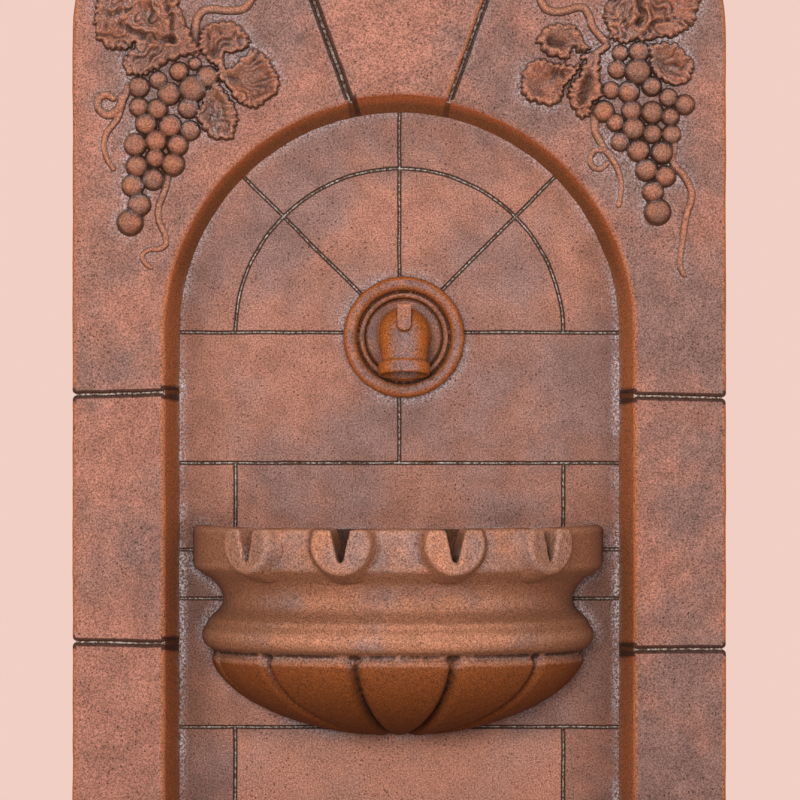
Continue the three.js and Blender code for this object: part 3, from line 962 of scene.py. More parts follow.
@dataclass
class FrameBlocks:
    """The raised frame of the panel, as blocks with worn edges that meet in sunk, dusty joints."""

    sizes: PanelSizes
    left_joints: tuple[Point, ...] = ((3.6, 5.3), (-169.4, -170.7))
    right_joints: tuple[Point, ...] = ((1.5, 3.0), (-174.5, -174.9))
    foot_joint: float = -342
    step: float = 7.0
    edge: float = 2.9
    joint_gap: float = 1.0
    joint_depth: float = 2.5
    keystone_gap: float = 1.8
    joint_reach: float = 3.6
    marked_depth: float = 5.0
    draft_reach: float = 0.9
    wobble: float = 0.35
    wobble_length: float = 16.0
    bed_back: float = -2.0
    bed_half: float = 1.6
    bed_overlap: float = 0.7
    bed_sunk: float = 4.0
    apron_beds: tuple[tuple[float, float, float, float], ...] = (
        (-164, 164, -343.6, -340.4), (-166, -161, -342, -297), (161, 166, -342, -297),
    )

    def joints(self, side: Side) -> tuple[Point, ...]:
        """Gives the outer and the inner height of each joint of a jamb."""
        return self.left_joints if side is Side.LEFT else self.right_joints

    def head_block(self, side: Side) -> list[Point]:
        """Draws the block between the top joint of one jamb and the keystone.

        Args:
            side: Side of the panel.

        Returns:
            Its outline.
        """
        sizes, sign = self.sizes, side.value
        outer, inner = self.joints(side)[0]
        half, radius, lift = sizes.width / 2, sizes.arch_radius, self.joint_gap / 2
        crown = sizes.keystone_top(0.0, self.keystone_gap)
        corner = sizes.keystone_corner(radius, self.keystone_gap)
        foot = (radius * math.cos(corner), sizes.arch_height + radius * math.sin(corner))
        outline = straight((half, outer + lift), (half, sizes.spring), self.step)
        count = 34
        outline += [sizes.head(crown * i / count) for i in range(count)]
        outline += straight(sizes.head(crown), foot, self.step)
        outline += arc(sizes.centre, radius, math.degrees(corner), 0, self.step * 0.7)
        outline += straight((radius, sizes.arch_height), (radius, inner + lift), self.step)
        outline += straight((radius, inner + lift), (half, outer + lift), self.step)
        return [(sign * x, z) for x, z in outline]

    def jamb_blocks(self, side: Side) -> list[list[Point]]:
        """Draws the blocks of one jamb below the head block, down to the foot joint."""
        sizes, sign, lift = self.sizes, side.value, self.joint_gap / 2
        heights = [*self.joints(side), (self.foot_joint, self.foot_joint)]
        outlines = []
        for (top_out, top_in), (low_out, low_in) in zip(heights, heights[1:]):
            corners = [
                (sizes.width / 2, low_out + lift), (sizes.width / 2, top_out - lift),
                (sizes.arch_radius, top_in - lift), (sizes.arch_radius, low_in + lift),
            ]
            outline = split_sides(corners, self.step)
            outlines.append([(sign * x, z) for x, z in outline])
        return outlines

    def foot_blocks(self) -> list[list[Point]]:
        """Draws the apron under the niche and the plain foot of the panel."""
        sizes, lift = self.sizes, self.joint_gap / 2
        half, inner = sizes.width / 2, sizes.arch_radius - self.joint_gap
        apron = rectangle(-inner, inner, self.foot_joint + lift, sizes.sill)
        foot = rectangle(-half, half, sizes.foot, self.foot_joint - lift)
        return [split_sides(corners, self.step) for corners in (apron, foot)]

    def keystone(self, front: float, grow: float, gap: float, back: float = 0.0) -> list[Point]:
        """Draws the keystone, or its bed, from the arch of the niche to the head.

        Args:
            front: Depth of its face.
            grow: How far it stands above the head.
            gap: How much wider it is on each side.
            back: How far its foot stands back from the arch.

        Returns:
            Its outline.
        """
        sizes = self.sizes
        radius = sizes.radius_at(front) + back
        corner, crown = sizes.keystone_corner(radius, gap), sizes.keystone_top(grow, gap)
        foot = (radius * math.cos(corner), sizes.arch_height + radius * math.sin(corner))
        top = sizes.head(crown, grow)
        count = 12
        over = [sizes.head(crown + (math.pi - 2 * crown) * i / count, grow) for i in range(count)]
        right = straight(foot, top, self.step)
        left = straight((-top[0], top[1]), (-foot[0], foot[1]), self.step)
        degrees = math.degrees(corner)
        return right + over + left + arc(sizes.centre, radius, 180 - degrees, degrees, self.step)

    def raise_block(self, shape: bmesh.types.BMesh, outline: list[Point], front: float) -> None:
        """Adds a block from its outline, with its niche side drafted inwards.

        Args:
            shape: Shape that the block is added to.
            outline: Outline of its face.
            front: Depth of its face.
        """
        sizes = self.sizes
        slope = sizes.draft / (sizes.thickness - sizes.niche_back)
        for vert in add_slab(shape, outline, front, 0.0):
            away = Vector((vert.co.x, 0, max(0.0, vert.co.z - sizes.arch_height)))
            on_arch = abs(away.length - sizes.radius_at(front)) < self.draft_reach
            if on_arch and vert.co.z > sizes.sill + 0.5:
                vert.co += away.normalized() * slope * front

    def build_blocks(self, material: bpy.types.Material) -> None:
        """Builds the blocks with rounded, slightly wavering edges.

        Args:
            material: Material of the frame.
        """
        shape = bmesh.new()
        front = -self.sizes.thickness
        outlines = [self.head_block(side) for side in Side]
        for side in Side:
            outlines += self.jamb_blocks(side)
        for outline in outlines + self.foot_blocks():
            self.raise_block(shape, outline, front)
        proud = front - self.sizes.keystone_proud
        self.raise_block(shape, self.keystone(proud, self.sizes.keystone_rise, 0.0), proud)
        bmesh.ops.recalc_face_normals(shape, faces=shape.faces)
        sharp = [
            one for one in shape.edges
            if one.calc_face_angle(0) > math.radians(SHARP_ANGLE) and min(v.co.y for v in one.verts) < -1
        ]
        round_edges(shape, sharp, self.edge, 4, clamp=True)
        for vert in shape.verts:
            place = vert.co / self.wobble_length
            vert.co.x += self.wobble * (noise.noise(place) + 0.5 * noise.noise(place * 3.1))
            other = place + Vector((7, 7, 7))
            vert.co.z += self.wobble * (noise.noise(other) + 0.5 * noise.noise(other * 2.9))
        piece = make_object(shape, "frame_blocks")
        vertices = piece.data.vertices
        for edge in piece.data.edges:
            edge.use_edge_sharp = all(vertices[index].co.y > -HAIR * MM for index in edge.vertices)
        write_marks(piece, [self.edge_mark(vert.co / MM) for vert in vertices])
        flatten_faces(piece)
        register(piece, Node.PANEL, material)

    def edge_mark(self, place: Vector) -> float:
        """Tells the sunk flanks of the joints from the free edges and the flat faces. The keystone's left
        flank counts as a joint flank, for painted shade, and its right flank as a free edge, for painted
        light.

        Args:
            place: Place on a block.

        Returns:
            1 on a free edge, -1 on the flank of a joint and 0 on a face.
        """
        sizes = self.sizes
        x, z = abs(place.x), place.z
        raised = place.y < -sizes.thickness - HAIR
        face = -sizes.thickness - (sizes.keystone_proud if raised else 0)
        if place.y < face + HAIR or place.y > self.marked_depth - sizes.thickness:
            return 0.0
        if raised:
            # Painted shade on the keystone's left flank and painted light on its right flank.
            flank = x > sizes.keystone_half(z) - self.marked_depth
            return math.copysign(1.0, place.x) if flank else 1.0
        along = (sizes.width / 2 - x) / sizes.jamb
        joints = self.joints(Side.LEFT if place.x < 0 else Side.RIGHT)
        away = [abs(z - outer - (inner - outer) * along) for outer, inner in joints]
        away.append(abs(z - self.foot_joint))
        if z > sizes.keystone_foot - 2:
            away.append(abs(x - sizes.keystone_half(z) - self.keystone_gap / 2))
        if z < sizes.sill:
            away.append(abs(x - sizes.arch_radius))
        return -1.0 if min(away) < self.joint_reach else 1.0

    def build_joints(self, material: bpy.types.Material) -> None:
        """Builds the sunk fillings of the joints.

        Args:
            material: Material of the joints.
        """
        sizes = self.sizes
        shape = bmesh.new()
        floor = -sizes.thickness + self.joint_depth
        keystone_bed = self.keystone(floor, -self.bed_sunk, self.keystone_gap + 1, 0.8)
        self.raise_block(shape, keystone_bed, floor)
        rows = [(side, *joint) for side in Side for joint in self.joints(side)]
        rows += [(side, self.foot_joint, self.foot_joint) for side in Side]
        for side, outer, inner in rows:
            made = bmesh.ops.create_cube(shape, size=2.0)
            for vert in made["verts"]:
                y = floor if vert.co.y < 0 else self.bed_back
                outside = vert.co.x > 0
                x = sizes.width / 2 - self.joint_depth if outside else sizes.radius_at(y) + self.bed_overlap
                vert.co = (side.value * x, y, (outer if outside else inner) + self.bed_half * vert.co.z)
        for left, right, bottom, top in self.apron_beds:
            made = bmesh.ops.create_cube(shape, size=2.0)
            for vert in made["verts"]:
                vert.co = (right if vert.co.x > 0 else left, floor if vert.co.y < 0 else self.bed_back,
                           top if vert.co.z > 0 else bottom)
        for vert in shape.verts:
            vert.co.y = min(vert.co.y, -BACK_GAP)
        piece = make_object(shape, "frame_joints")
        split_corners(piece)
        register(piece, Node.PANEL, material)


@dataclass
class NicheStones:
    """The back of the niche: shallow stones on a dusty bed, in courses and in a fan."""

    sizes: PanelSizes
    fan_radius: float = 115.5
    drops: tuple[float, ...] = (0, 92, 187.5, 278)
    half_drop: float = 153
    gap: float = 0.45
    edge: float = 1.4
    overlap: float = 1.5
    hub: float = 30
    bed_depth: float = 1.35
    bed_overlap: float = 3.0
    stone_depth: float = 4.5
    step: float = 5.0
    side_step: float = 15.0
    wobble: float = 0.45
    wobble_length: float = 14.0

    def box(self, x0: float, x1: float, z0: float, z1: float) -> list[Point]:
        """Draws a stone with upright sides."""
        return split_sides(rectangle(x0, x1, z0, z1), self.side_step)

    def sector(self, inner: float, outer: float, start: float, end: float) -> list[Point]:
        """Draws a stone of the fan between two radii and two angles."""
        centre = self.sizes.centre

        def at(radius: float, angle: float) -> Point:
            turn = math.radians(angle)
            return (centre[0] + radius * math.cos(turn), centre[1] + radius * math.sin(turn))

        outline = arc(centre, outer, start, end, self.step)
        outline += straight(at(outer, end), at(inner, end), self.side_step)
        outline += arc(centre, inner, end, start, self.step)
        outline += straight(at(inner, start), at(outer, start), self.side_step)
        return outline

    def outlines(self) -> list[list[Point]]:
        """Draws all the stones.

        Returns:
            Their outlines.
        """
        top = self.sizes.arch_height
        side = self.sizes.back_radius + self.overlap
        fan = self.fan_radius
        rows = [top - drop for drop in self.drops] + [self.sizes.sill - self.overlap]
        half = top - self.half_drop
        rings = ((self.hub, fan), (fan, side))
        stones = [self.sector(*ring, start, start + 45) for ring in rings for start in range(0, 180, 45)]
        stones += [self.box(-side, 0, rows[1], rows[0]), self.box(0, side, rows[1], rows[0])]
        stones += [self.box(-fan, fan, rows[2], rows[1])]
        for low, high in ((rows[2], half), (half, rows[1])):
            stones += [self.box(-side, -fan, low, high), self.box(fan, side, low, high)]
        stones += [self.box(-side, 0, rows[3], rows[2]), self.box(0, side, rows[3], rows[2])]
        stones += [self.box(-side, -fan, rows[4], rows[3]), self.box(fan, side, rows[4], rows[3])]
        stones += [self.box(-fan, fan, rows[4], rows[3])]
        return stones

    def build_stones(self, material: bpy.types.Material) -> None:
        """Builds the stones.

        Args:
            material: Material of the niche.
        """
        shape = bmesh.new()
        front = -self.sizes.niche_back
        for outline in self.outlines():
            face = shape.faces.new([shape.verts.new((x, front, z)) for x, z in outline])
            face.normal_update()
            border = bmesh.ops.inset_region(
                shape, faces=[face], thickness=self.gap, depth=0, use_even_offset=True,
                use_boundary=True,
            )
            bmesh.ops.delete(shape, geom=border["faces"], context="FACES")
        push_back(shape, shape.faces[:], front + self.stone_depth)
        bmesh.ops.recalc_face_normals(shape, faces=shape.faces)
        rims = [
            one for one in shape.edges
            if one.calc_face_angle(0) > math.radians(SHARP_ANGLE)
            and all(v.co.y < front + HAIR for v in one.verts)
        ]
        round_edges(shape, rims, self.edge, 3)
        for vert in shape.verts:
            place = vert.co / self.wobble_length
            vert.co.x += self.wobble * noise.noise(place)
            vert.co.z += self.wobble * noise.noise(place + Vector((5, 5, 5)))
        piece = make_object(shape, "niche_stones")
        face_end = (front + HAIR) * MM
        write_marks(piece, [0.0 if vert.co.y < face_end else -1.0 for vert in piece.data.vertices])
        flatten_faces(piece)
        register(piece, Node.PANEL, material)

    def build_bed(self, material: bpy.types.Material) -> None:
        """Builds the bed that shows as a fine line of dust between the stones.

        Args:
            material: Material of the joints.
        """
        sizes = self.sizes
        reach, foot = sizes.back_radius + self.bed_overlap, sizes.sill - self.bed_overlap
        top = arc(sizes.centre, reach, 0, 180, self.step)
        outline = [(-reach, foot), (reach, foot), *top, (-reach, sizes.arch_height)]
        shape = bmesh.new()
        add_slab(shape, outline, -sizes.niche_back + self.bed_depth, -BACK_GAP)
        piece = make_object(shape, "niche_bed")
        split_corners(piece)
        register(piece, Node.PANEL, material)


class Relief:
    """Heights over an upright face, in millimetres, on a fine grid."""

    ground = -3.0

    def __init__(self, low: Point, high: Point, step: float) -> None:
        """Starts a flat relief between two corners."""
        self.columns = round((high[0] - low[0]) / step)
        self.rows = round((high[1] - low[1]) / step)
        across = np.linspace(low[0], high[0], self.columns + 1)
        up = np.linspace(low[1], high[1], self.rows + 1)
        self.x, self.z = np.meshgrid(across, up)
        self.height = np.full(self.x.shape, self.ground)

    def window(self, points: list[Point], margin: float) -> tuple[slice, slice]:
        """Finds the part of the grid round some points.

        Args:
            points: Points that it holds.
            margin: How far it reaches past them.

        Returns:
            The rows and the columns.
        """
        xs, zs = zip(*points)
        columns = np.searchsorted(self.x[0], [min(xs) - margin, max(xs) + margin])
        rows = np.searchsorted(self.z[:, 0], [min(zs) - margin, max(zs) + margin])
        return slice(*rows), slice(*columns)

    def lift(self, where: tuple[slice, slice], height: np.ndarray) -> None:
        """Raises the relief to a height where that is higher."""
        self.height[where] = np.maximum(self.height[where], height)

    def build(self, face: float, sink: float) -> bmesh.types.BMesh:
        """Turns the heights into a closed shape on a face.

        Args:
            face: Depth of the face that carries the relief.
            sink: How far the shape reaches into it.

        Returns:
            The shape.
        """
        shape = bmesh.new()
        bmesh.ops.create_grid(shape, x_segments=self.columns, y_segments=self.rows, size=1.0)
        for vert in shape.verts:
            column = round((vert.co.x + 1) / 2 * self.columns)
            row = round((vert.co.y + 1) / 2 * self.rows)
            height = max(float(self.height[row, column]), -sink)
            vert.co = (self.x[row, column], face - height, self.z[row, column])
        flat = [one for one in shape.faces if all(v.co.y > face + sink * 0.99 for v in one.verts)]
        bmesh.ops.delete(shape, geom=flat, context="FACES")
        push_back(shape, shape.faces[:], face + sink + 1)
        back = [one for one in shape.faces if all(v.co.y > face + sink + 0.9 for v in one.verts)]
        bmesh.ops.dissolve_faces(shape, faces=back)
        return shape


def measure_path(x: np.ndarray, z: np.ndarray, path: list[Point]) -> tuple[np.ndarray, np.ndarray]:
    """Measures how far places lie from a line and how far along it.

    Args:
        x: Places, across.
        z: Places, up.
        path: Points of the line.

    Returns:
        The distances, and the lengths from the start of the line to its nearest point.
    """
    nearest = np.full(x.shape, 1e9)
    along = np.zeros(x.shape)
    passed = 0.0
    for (x0, z0), (x1, z1) in zip(path, path[1:]):
        length = max(math.hypot(x1 - x0, z1 - z0), 1e-9)
        share = np.clip(((x - x0) * (x1 - x0) + (z - z0) * (z1 - z0)) / length**2, 0, 1)
        away = np.hypot(x - x0 - share * (x1 - x0), z - z0 - share * (z1 - z0))
        closer = away < nearest
        nearest = np.where(closer, away, nearest)
        along = np.where(closer, passed + share * length, along)
        passed += length
    return nearest, along


def inside_outline(x: np.ndarray, z: np.ndarray, outline: list[Point]) -> np.ndarray:
    """Tells which places lie inside a closed outline."""
    inside = np.zeros(x.shape, bool)
    for (x0, z0), (x1, z1) in zip(outline, outline[1:] + outline[:1]):
        if z0 != z1:
            crosses = ((z0 <= z) != (z1 <= z)) & (x < (x1 - x0) * (z - z0) / (z1 - z0) + x0)
            inside ^= crosses
    return inside


class Ripples:
    """Uneven waves over an upright face."""

    def __init__(self, seed: int, short: float, long: float) -> None:
        """Draws the waves.

        Args:
            seed: Picks the waves.
            short: Shortest length of a wave.
            long: Longest length of a wave.
        """
        rand = random.Random(seed)
        self.waves = [
            (rand.uniform(0, math.tau), math.tau / rand.uniform(short, long), rand.uniform(0, math.tau))
            for _ in range(16)
        ]

    def at(self, x: np.ndarray, z: np.ndarray) -> np.ndarray:
        """Reads the waves at places, mostly between -1.5 and 1.5."""
        total = np.zeros(x.shape)
        for angle, rate, phase in self.waves:
            total += np.sin((x * math.cos(angle) + z * math.sin(angle)) * rate + phase)
        return total / math.sqrt(len(self.waves) / 2)


@dataclass(frozen=True)
class Crease:
    """A line pressed into a leaf, with a low bank on both sides."""

    depth: float
    width: float
    points: tuple[Point, ...]
    bank: float = 0.4

    def press(self, x: np.ndarray, z: np.ndarray) -> np.ndarray:
        """Gives the change of height at places."""
        away, _ = measure_path(x, z, smooth_path(list(self.points), 4))
        away = away / (1.3 * self.width)
        return 0.7 * self.depth * (self.bank * np.exp(-((away - 2.2) / 0.9) ** 2) - np.exp(-(away**2)))


@dataclass(frozen=True)
class Leaf:
    """A leaf or one lobe of it: a rolled, pleated rim round a sunk middle with creases."""

    outline: tuple[Point, ...]
    creases: tuple[Crease, ...] = ()
    height: float = 7.6
    rim: float = 2.4
    dish: float = 4.2
    dish_width: float = 7.0
    pleat: float = 5.6
    pleat_depth: float = 1.5
    pleat_reach: float = 4.4
    notch: float = 1.4
    fold: float = 1.0
    folds: int = 9

    def carve(self, relief: Relief, seed: int) -> None:
        """Adds the leaf to a relief.

        Args:
            relief: Relief that it is added to.
            seed: Picks the rhythm of its pleats and folds.
        """
        path = smooth_path(list(self.outline), 5, closed=True)
        where = relief.window(path, 3.0)
        x, z = relief.x[where], relief.z[where]
        warp_x, warp_z = Ripples(seed, 8, 18).at(x, z), Ripples(seed + 50, 8, 18).at(x, z)
        bent_x, bent_z = x + 0.5 * warp_x, z + 0.5 * warp_z
        distance, along = measure_path(bent_x, bent_z, path + path[:1])
        distance = np.where(inside_outline(bent_x, bent_z, path), distance, -distance)
        phase = along / self.pleat + 0.4 * np.sin(along / 7.3 + seed)
        ridge = np.abs(np.sin(math.pi * phase)) ** 0.8
        edge = distance - self.notch * (1 - ridge)
        roll = np.sqrt(np.clip(1 - (1 - np.clip(edge / self.rim, 0, 1)) ** 2, 0, 1))
        height = self.height * roll - self.dish * smooth_step(edge, self.rim, self.rim + self.dish_width)
        height -= self.pleat_depth * (1 - ridge) * np.exp(-(((edge - 1.8) / self.pleat_reach) ** 2))
        base_x, base_z = self.creases[0].points[0]
        turn = np.arctan2(bent_z - base_z, bent_x - base_x) + 0.12 * Ripples(seed + 90, 9, 22).at(x, z)
        spread = smooth_step(np.hypot(bent_x - base_x, bent_z - base_z), 5, 18)
        height += self.fold * roll * spread * (1.8 * np.abs(np.sin(self.folds * turn + seed)) - 1.2)
        for crease in self.creases:
            height += crease.press(bent_x, bent_z) * roll
        relief.lift(where, np.where(edge > 0, np.maximum(height, 0.4), edge * 4))


@dataclass(frozen=True)
class Tendril:
    """A round stem that tapers along its path."""

    points: tuple[Point, ...]
    thick: float = 2.8
    thin: float = 1.7
    lift: float = 0.6

    def carve(self, relief: Relief) -> None:
        """Adds the tendril to a relief."""
        path = smooth_path(list(self.points), 6)
        where = relief.window(path, 5.0)
        away, along = measure_path(relief.x[where], relief.z[where], path)
        length = sum(math.dist(a, b) for a, b in zip(path, path[1:]))
        radius = self.thick + (self.thin - self.thick) * along / length
        round_top = np.sqrt(np.clip(radius**2 - away**2, 0, None))
        height = np.where(away < radius, self.lift + round_top, self.lift - 4 * (away - radius))
        relief.lift(where, height)


@dataclass(frozen=True)
class Vine:
    """One bunch of grapes with its leaves and tendrils, drawn in the panel's own places."""

    name: str
    low: Point
    high: Point
    berries: tuple[tuple[float, float, float], ...]
    leaves: tuple[Leaf, ...]
    tendrils: tuple[Tendril, ...]
    step: float = 0.62
    sink: float = 0.8
    swell: float = 1.12
    seed: int = 4

    def carve_berry(self, relief: Relief, x: float, z: float, radius: float, lift: float) -> None:
        """Adds a berry and the filling round its foot to a relief.

        Args:
            relief: Relief that it is added to.
            x: Place across.
            z: Place up.
            radius: Radius of the berry.
            lift: How far its middle stands in front of the panel.
        """
        where = relief.window([(x, z)], radius + 4)
        away = np.hypot(relief.x[where] - x, relief.z[where] - z)
        cap = np.sqrt(np.clip(radius**2 - away**2, 0, None))
        steep = np.where(away < radius, lift + cap, lift - 5 * (away - radius))
        filling = lift + 1.4 - 2.6 * (away - radius + 0.7)
        relief.lift(where, np.maximum(steep, np.minimum(filling, 3.4)))

    def build(self, sizes: PanelSizes, material: bpy.types.Material) -> None:
        """Builds the bunch on the face of the panel.

        Args:
            sizes: Sizes of the panel.
            material: Material of the relief.
        """
        relief = Relief(self.low, self.high, self.step)
        rand = random.Random(self.seed)
        for tendril in self.tendrils:
            tendril.carve(relief)
        for index, leaf in enumerate(self.leaves):
            leaf.carve(relief, self.seed + index)
        for x, z, radius in self.berries:
            self.carve_berry(relief, x, z, radius * self.swell, radius * rand.uniform(0.1, 0.5) + 0.6)
        shape = relief.build(-sizes.thickness, self.sink)
        piece = make_object(shape, self.name)
        weather(piece, 0.14, 2.4, self.seed)
        mark_relief(piece, 40)
        register(piece, Node.PANEL, material)


LEFT_VINE = Vine(
    name="vine_left",
    low=(-219, 84),
    high=(-78, 303),
    berries=(
        (-182.2, 219.1, 6.5), (-168.9, 224.0, 5.6), (-154.2, 230.1, 5.9), (-143.2, 235.5, 4.2),
        (-161.2, 214.4, 7.3), (-144.8, 217.9, 8.3), (-134.3, 226.2, 6.6), (-182.2, 205.1, 5.8),
        (-169.5, 203.6, 6.3), (-147.6, 204.4, 6.6), (-177.3, 193.3, 6.6), (-160.5, 191.9, 7.2),
        (-146.4, 188.7, 6.3), (-184.8, 178.8, 7.2), (-170.2, 181.4, 7.0), (-155.3, 178.5, 6.3),
        (-170.9, 169.3, 5.9), (-183.5, 163.7, 6.6), (-158.7, 165.1, 7.0), (-172.5, 154.6, 6.9),
        (-186.5, 150.1, 7.0), (-182.2, 136.7, 6.9), (-188.5, 124.3, 7.7),
    ),
    leaves=(
        Leaf(
            outline=(
                (-211, 286), (-213, 280), (-214.5, 274.5), (-213.5, 268.5), (-215, 263.5),
                (-212.5, 259), (-212.5, 253), (-208.5, 248.5), (-204, 244.5), (-195.5, 244),
                (-189, 246.5), (-185, 249.5), (-188.5, 245.5), (-194, 240.5), (-195, 235),
                (-191.5, 228.5), (-185.5, 226), (-179, 226.5), (-173.5, 228.5), (-165.5, 233),
                (-160, 237), (-154, 239), (-146.5, 241), (-140, 241.5), (-140, 247.5),
                (-143.5, 253.5), (-147, 260.5), (-150, 268.5), (-153, 276), (-155.5, 284),
                (-160, 292.5), (-169.5, 298), (-181, 292.5), (-190.5, 296.5), (-202, 293.5),
            ),
            creases=(
                Crease(3.6, 1.6, ((-158.5, 252.5), (-169.5, 253), (-181, 256), (-188.5, 259.5), (-195, 263))),
                Crease(2.6, 1.2, ((-158.5, 252.5), (-158.5, 259), (-159.5, 265.5), (-161, 271.5), (-163, 277),
                            (-165.5, 286))),
                Crease(2.8, 1.6, ((-160, 252), (-164.5, 250), (-170.5, 244), (-177, 239), (-182, 237.5))),
                Crease(1.6, 1.0, ((-204.5, 269.5), (-198, 271.5), (-188.5, 273), (-183, 274))),
                Crease(4.5, 2.6, ((-176.5, 273.5), (-174.5, 269.5), (-173.5, 266))),
            ),
            dish=1.2,
            fold=1.2,
            folds=11,
            pleat_reach=6.5,
        ),
        Leaf(
            outline=(
                (-140.5, 247), (-141.5, 252), (-139.5, 258.5), (-135.5, 262.5), (-129, 265.5),
                (-122.5, 266.5), (-115.5, 265), (-110.5, 261.5), (-106, 256.5), (-103.5, 251),
                (-105, 247), (-109.5, 244.5), (-116.5, 243), (-121, 241.5), (-123, 238.5),
                (-122, 235), (-125.5, 232), (-130, 234), (-135, 237), (-138, 241.5),
            ),
            creases=(Crease(3.6, 2.2, ((-135.5, 237.5), (-131, 243.5), (-125.5, 248), (-120.5, 248.5))),),
        ),
        Leaf(
            outline=(
                (-125.5, 236), (-121.5, 233.5), (-116.5, 234.5), (-112.5, 238), (-109.5, 241.5),
                (-105, 245), (-100, 246.5), (-95, 242.5), (-89.5, 237.5), (-85, 230),
                (-83, 221.5), (-85, 214.5), (-90.5, 209.5), (-98.5, 205), (-105, 204.5),
                (-112, 208), (-116.5, 213), (-121, 218.5), (-126, 223.5), (-129, 229),
            ),
            creases=(Crease(3.4, 3.6, ((-117.5, 226), (-108, 223.5), (-99.5, 222.5))),),
        ),
        Leaf(
            outline=(
                (-128, 223.5), (-123, 218.5), (-118.5, 213), (-115, 207), (-113, 201.5),
                (-112.5, 194.5), (-114, 189), (-116.5, 183.5), (-121.5, 181.5), (-127, 181.5),
                (-132.5, 183.5), (-136.5, 187.5), (-140, 193), (-143.5, 197.5), (-142.5, 201.5),
                (-140, 207), (-137.5, 213), (-135, 217.5),
            ),
            creases=(Crease(4.0, 3.2, ((-133.5, 214), (-131, 206), (-128.5, 200.5))),),
        ),
    ),
    tendrils=(
        Tendril(((-189.9, 219), (-192.1, 213), (-194.1, 208), (-197.6, 196.7), (-204.6, 187.5),
                 (-207, 178.6), (-204.6, 168.8), (-200.4, 161.9)), 2.8, 1.9),
        Tendril(((-194, 212), (-196.2, 204), (-203.5, 199.6), (-210, 203.5), (-211, 210), (-206, 213.8),
                 (-200.4, 211.4)), 3.4, 2.6),
        Tendril(((-161.9, 158), (-164.4, 146.6), (-168.4, 135.4), (-168.4, 125.7), (-164.4, 116.2),
                 (-163.5, 109.5), (-167.5, 105.9), (-175.6, 105.2), (-180, 101), (-178, 95.9),
                 (-174, 92.8)), 2.7, 1.7),
        Tendril(((-142.7, 243), (-142.7, 262.5), (-139.5, 270.3), (-133.2, 273.9), (-118.5, 272.8),
                 (-108.9, 274.4), (-104.1, 280), (-101.7, 288.4), (-104.5, 298.2)), 3.0, 3.0),
    ),
)

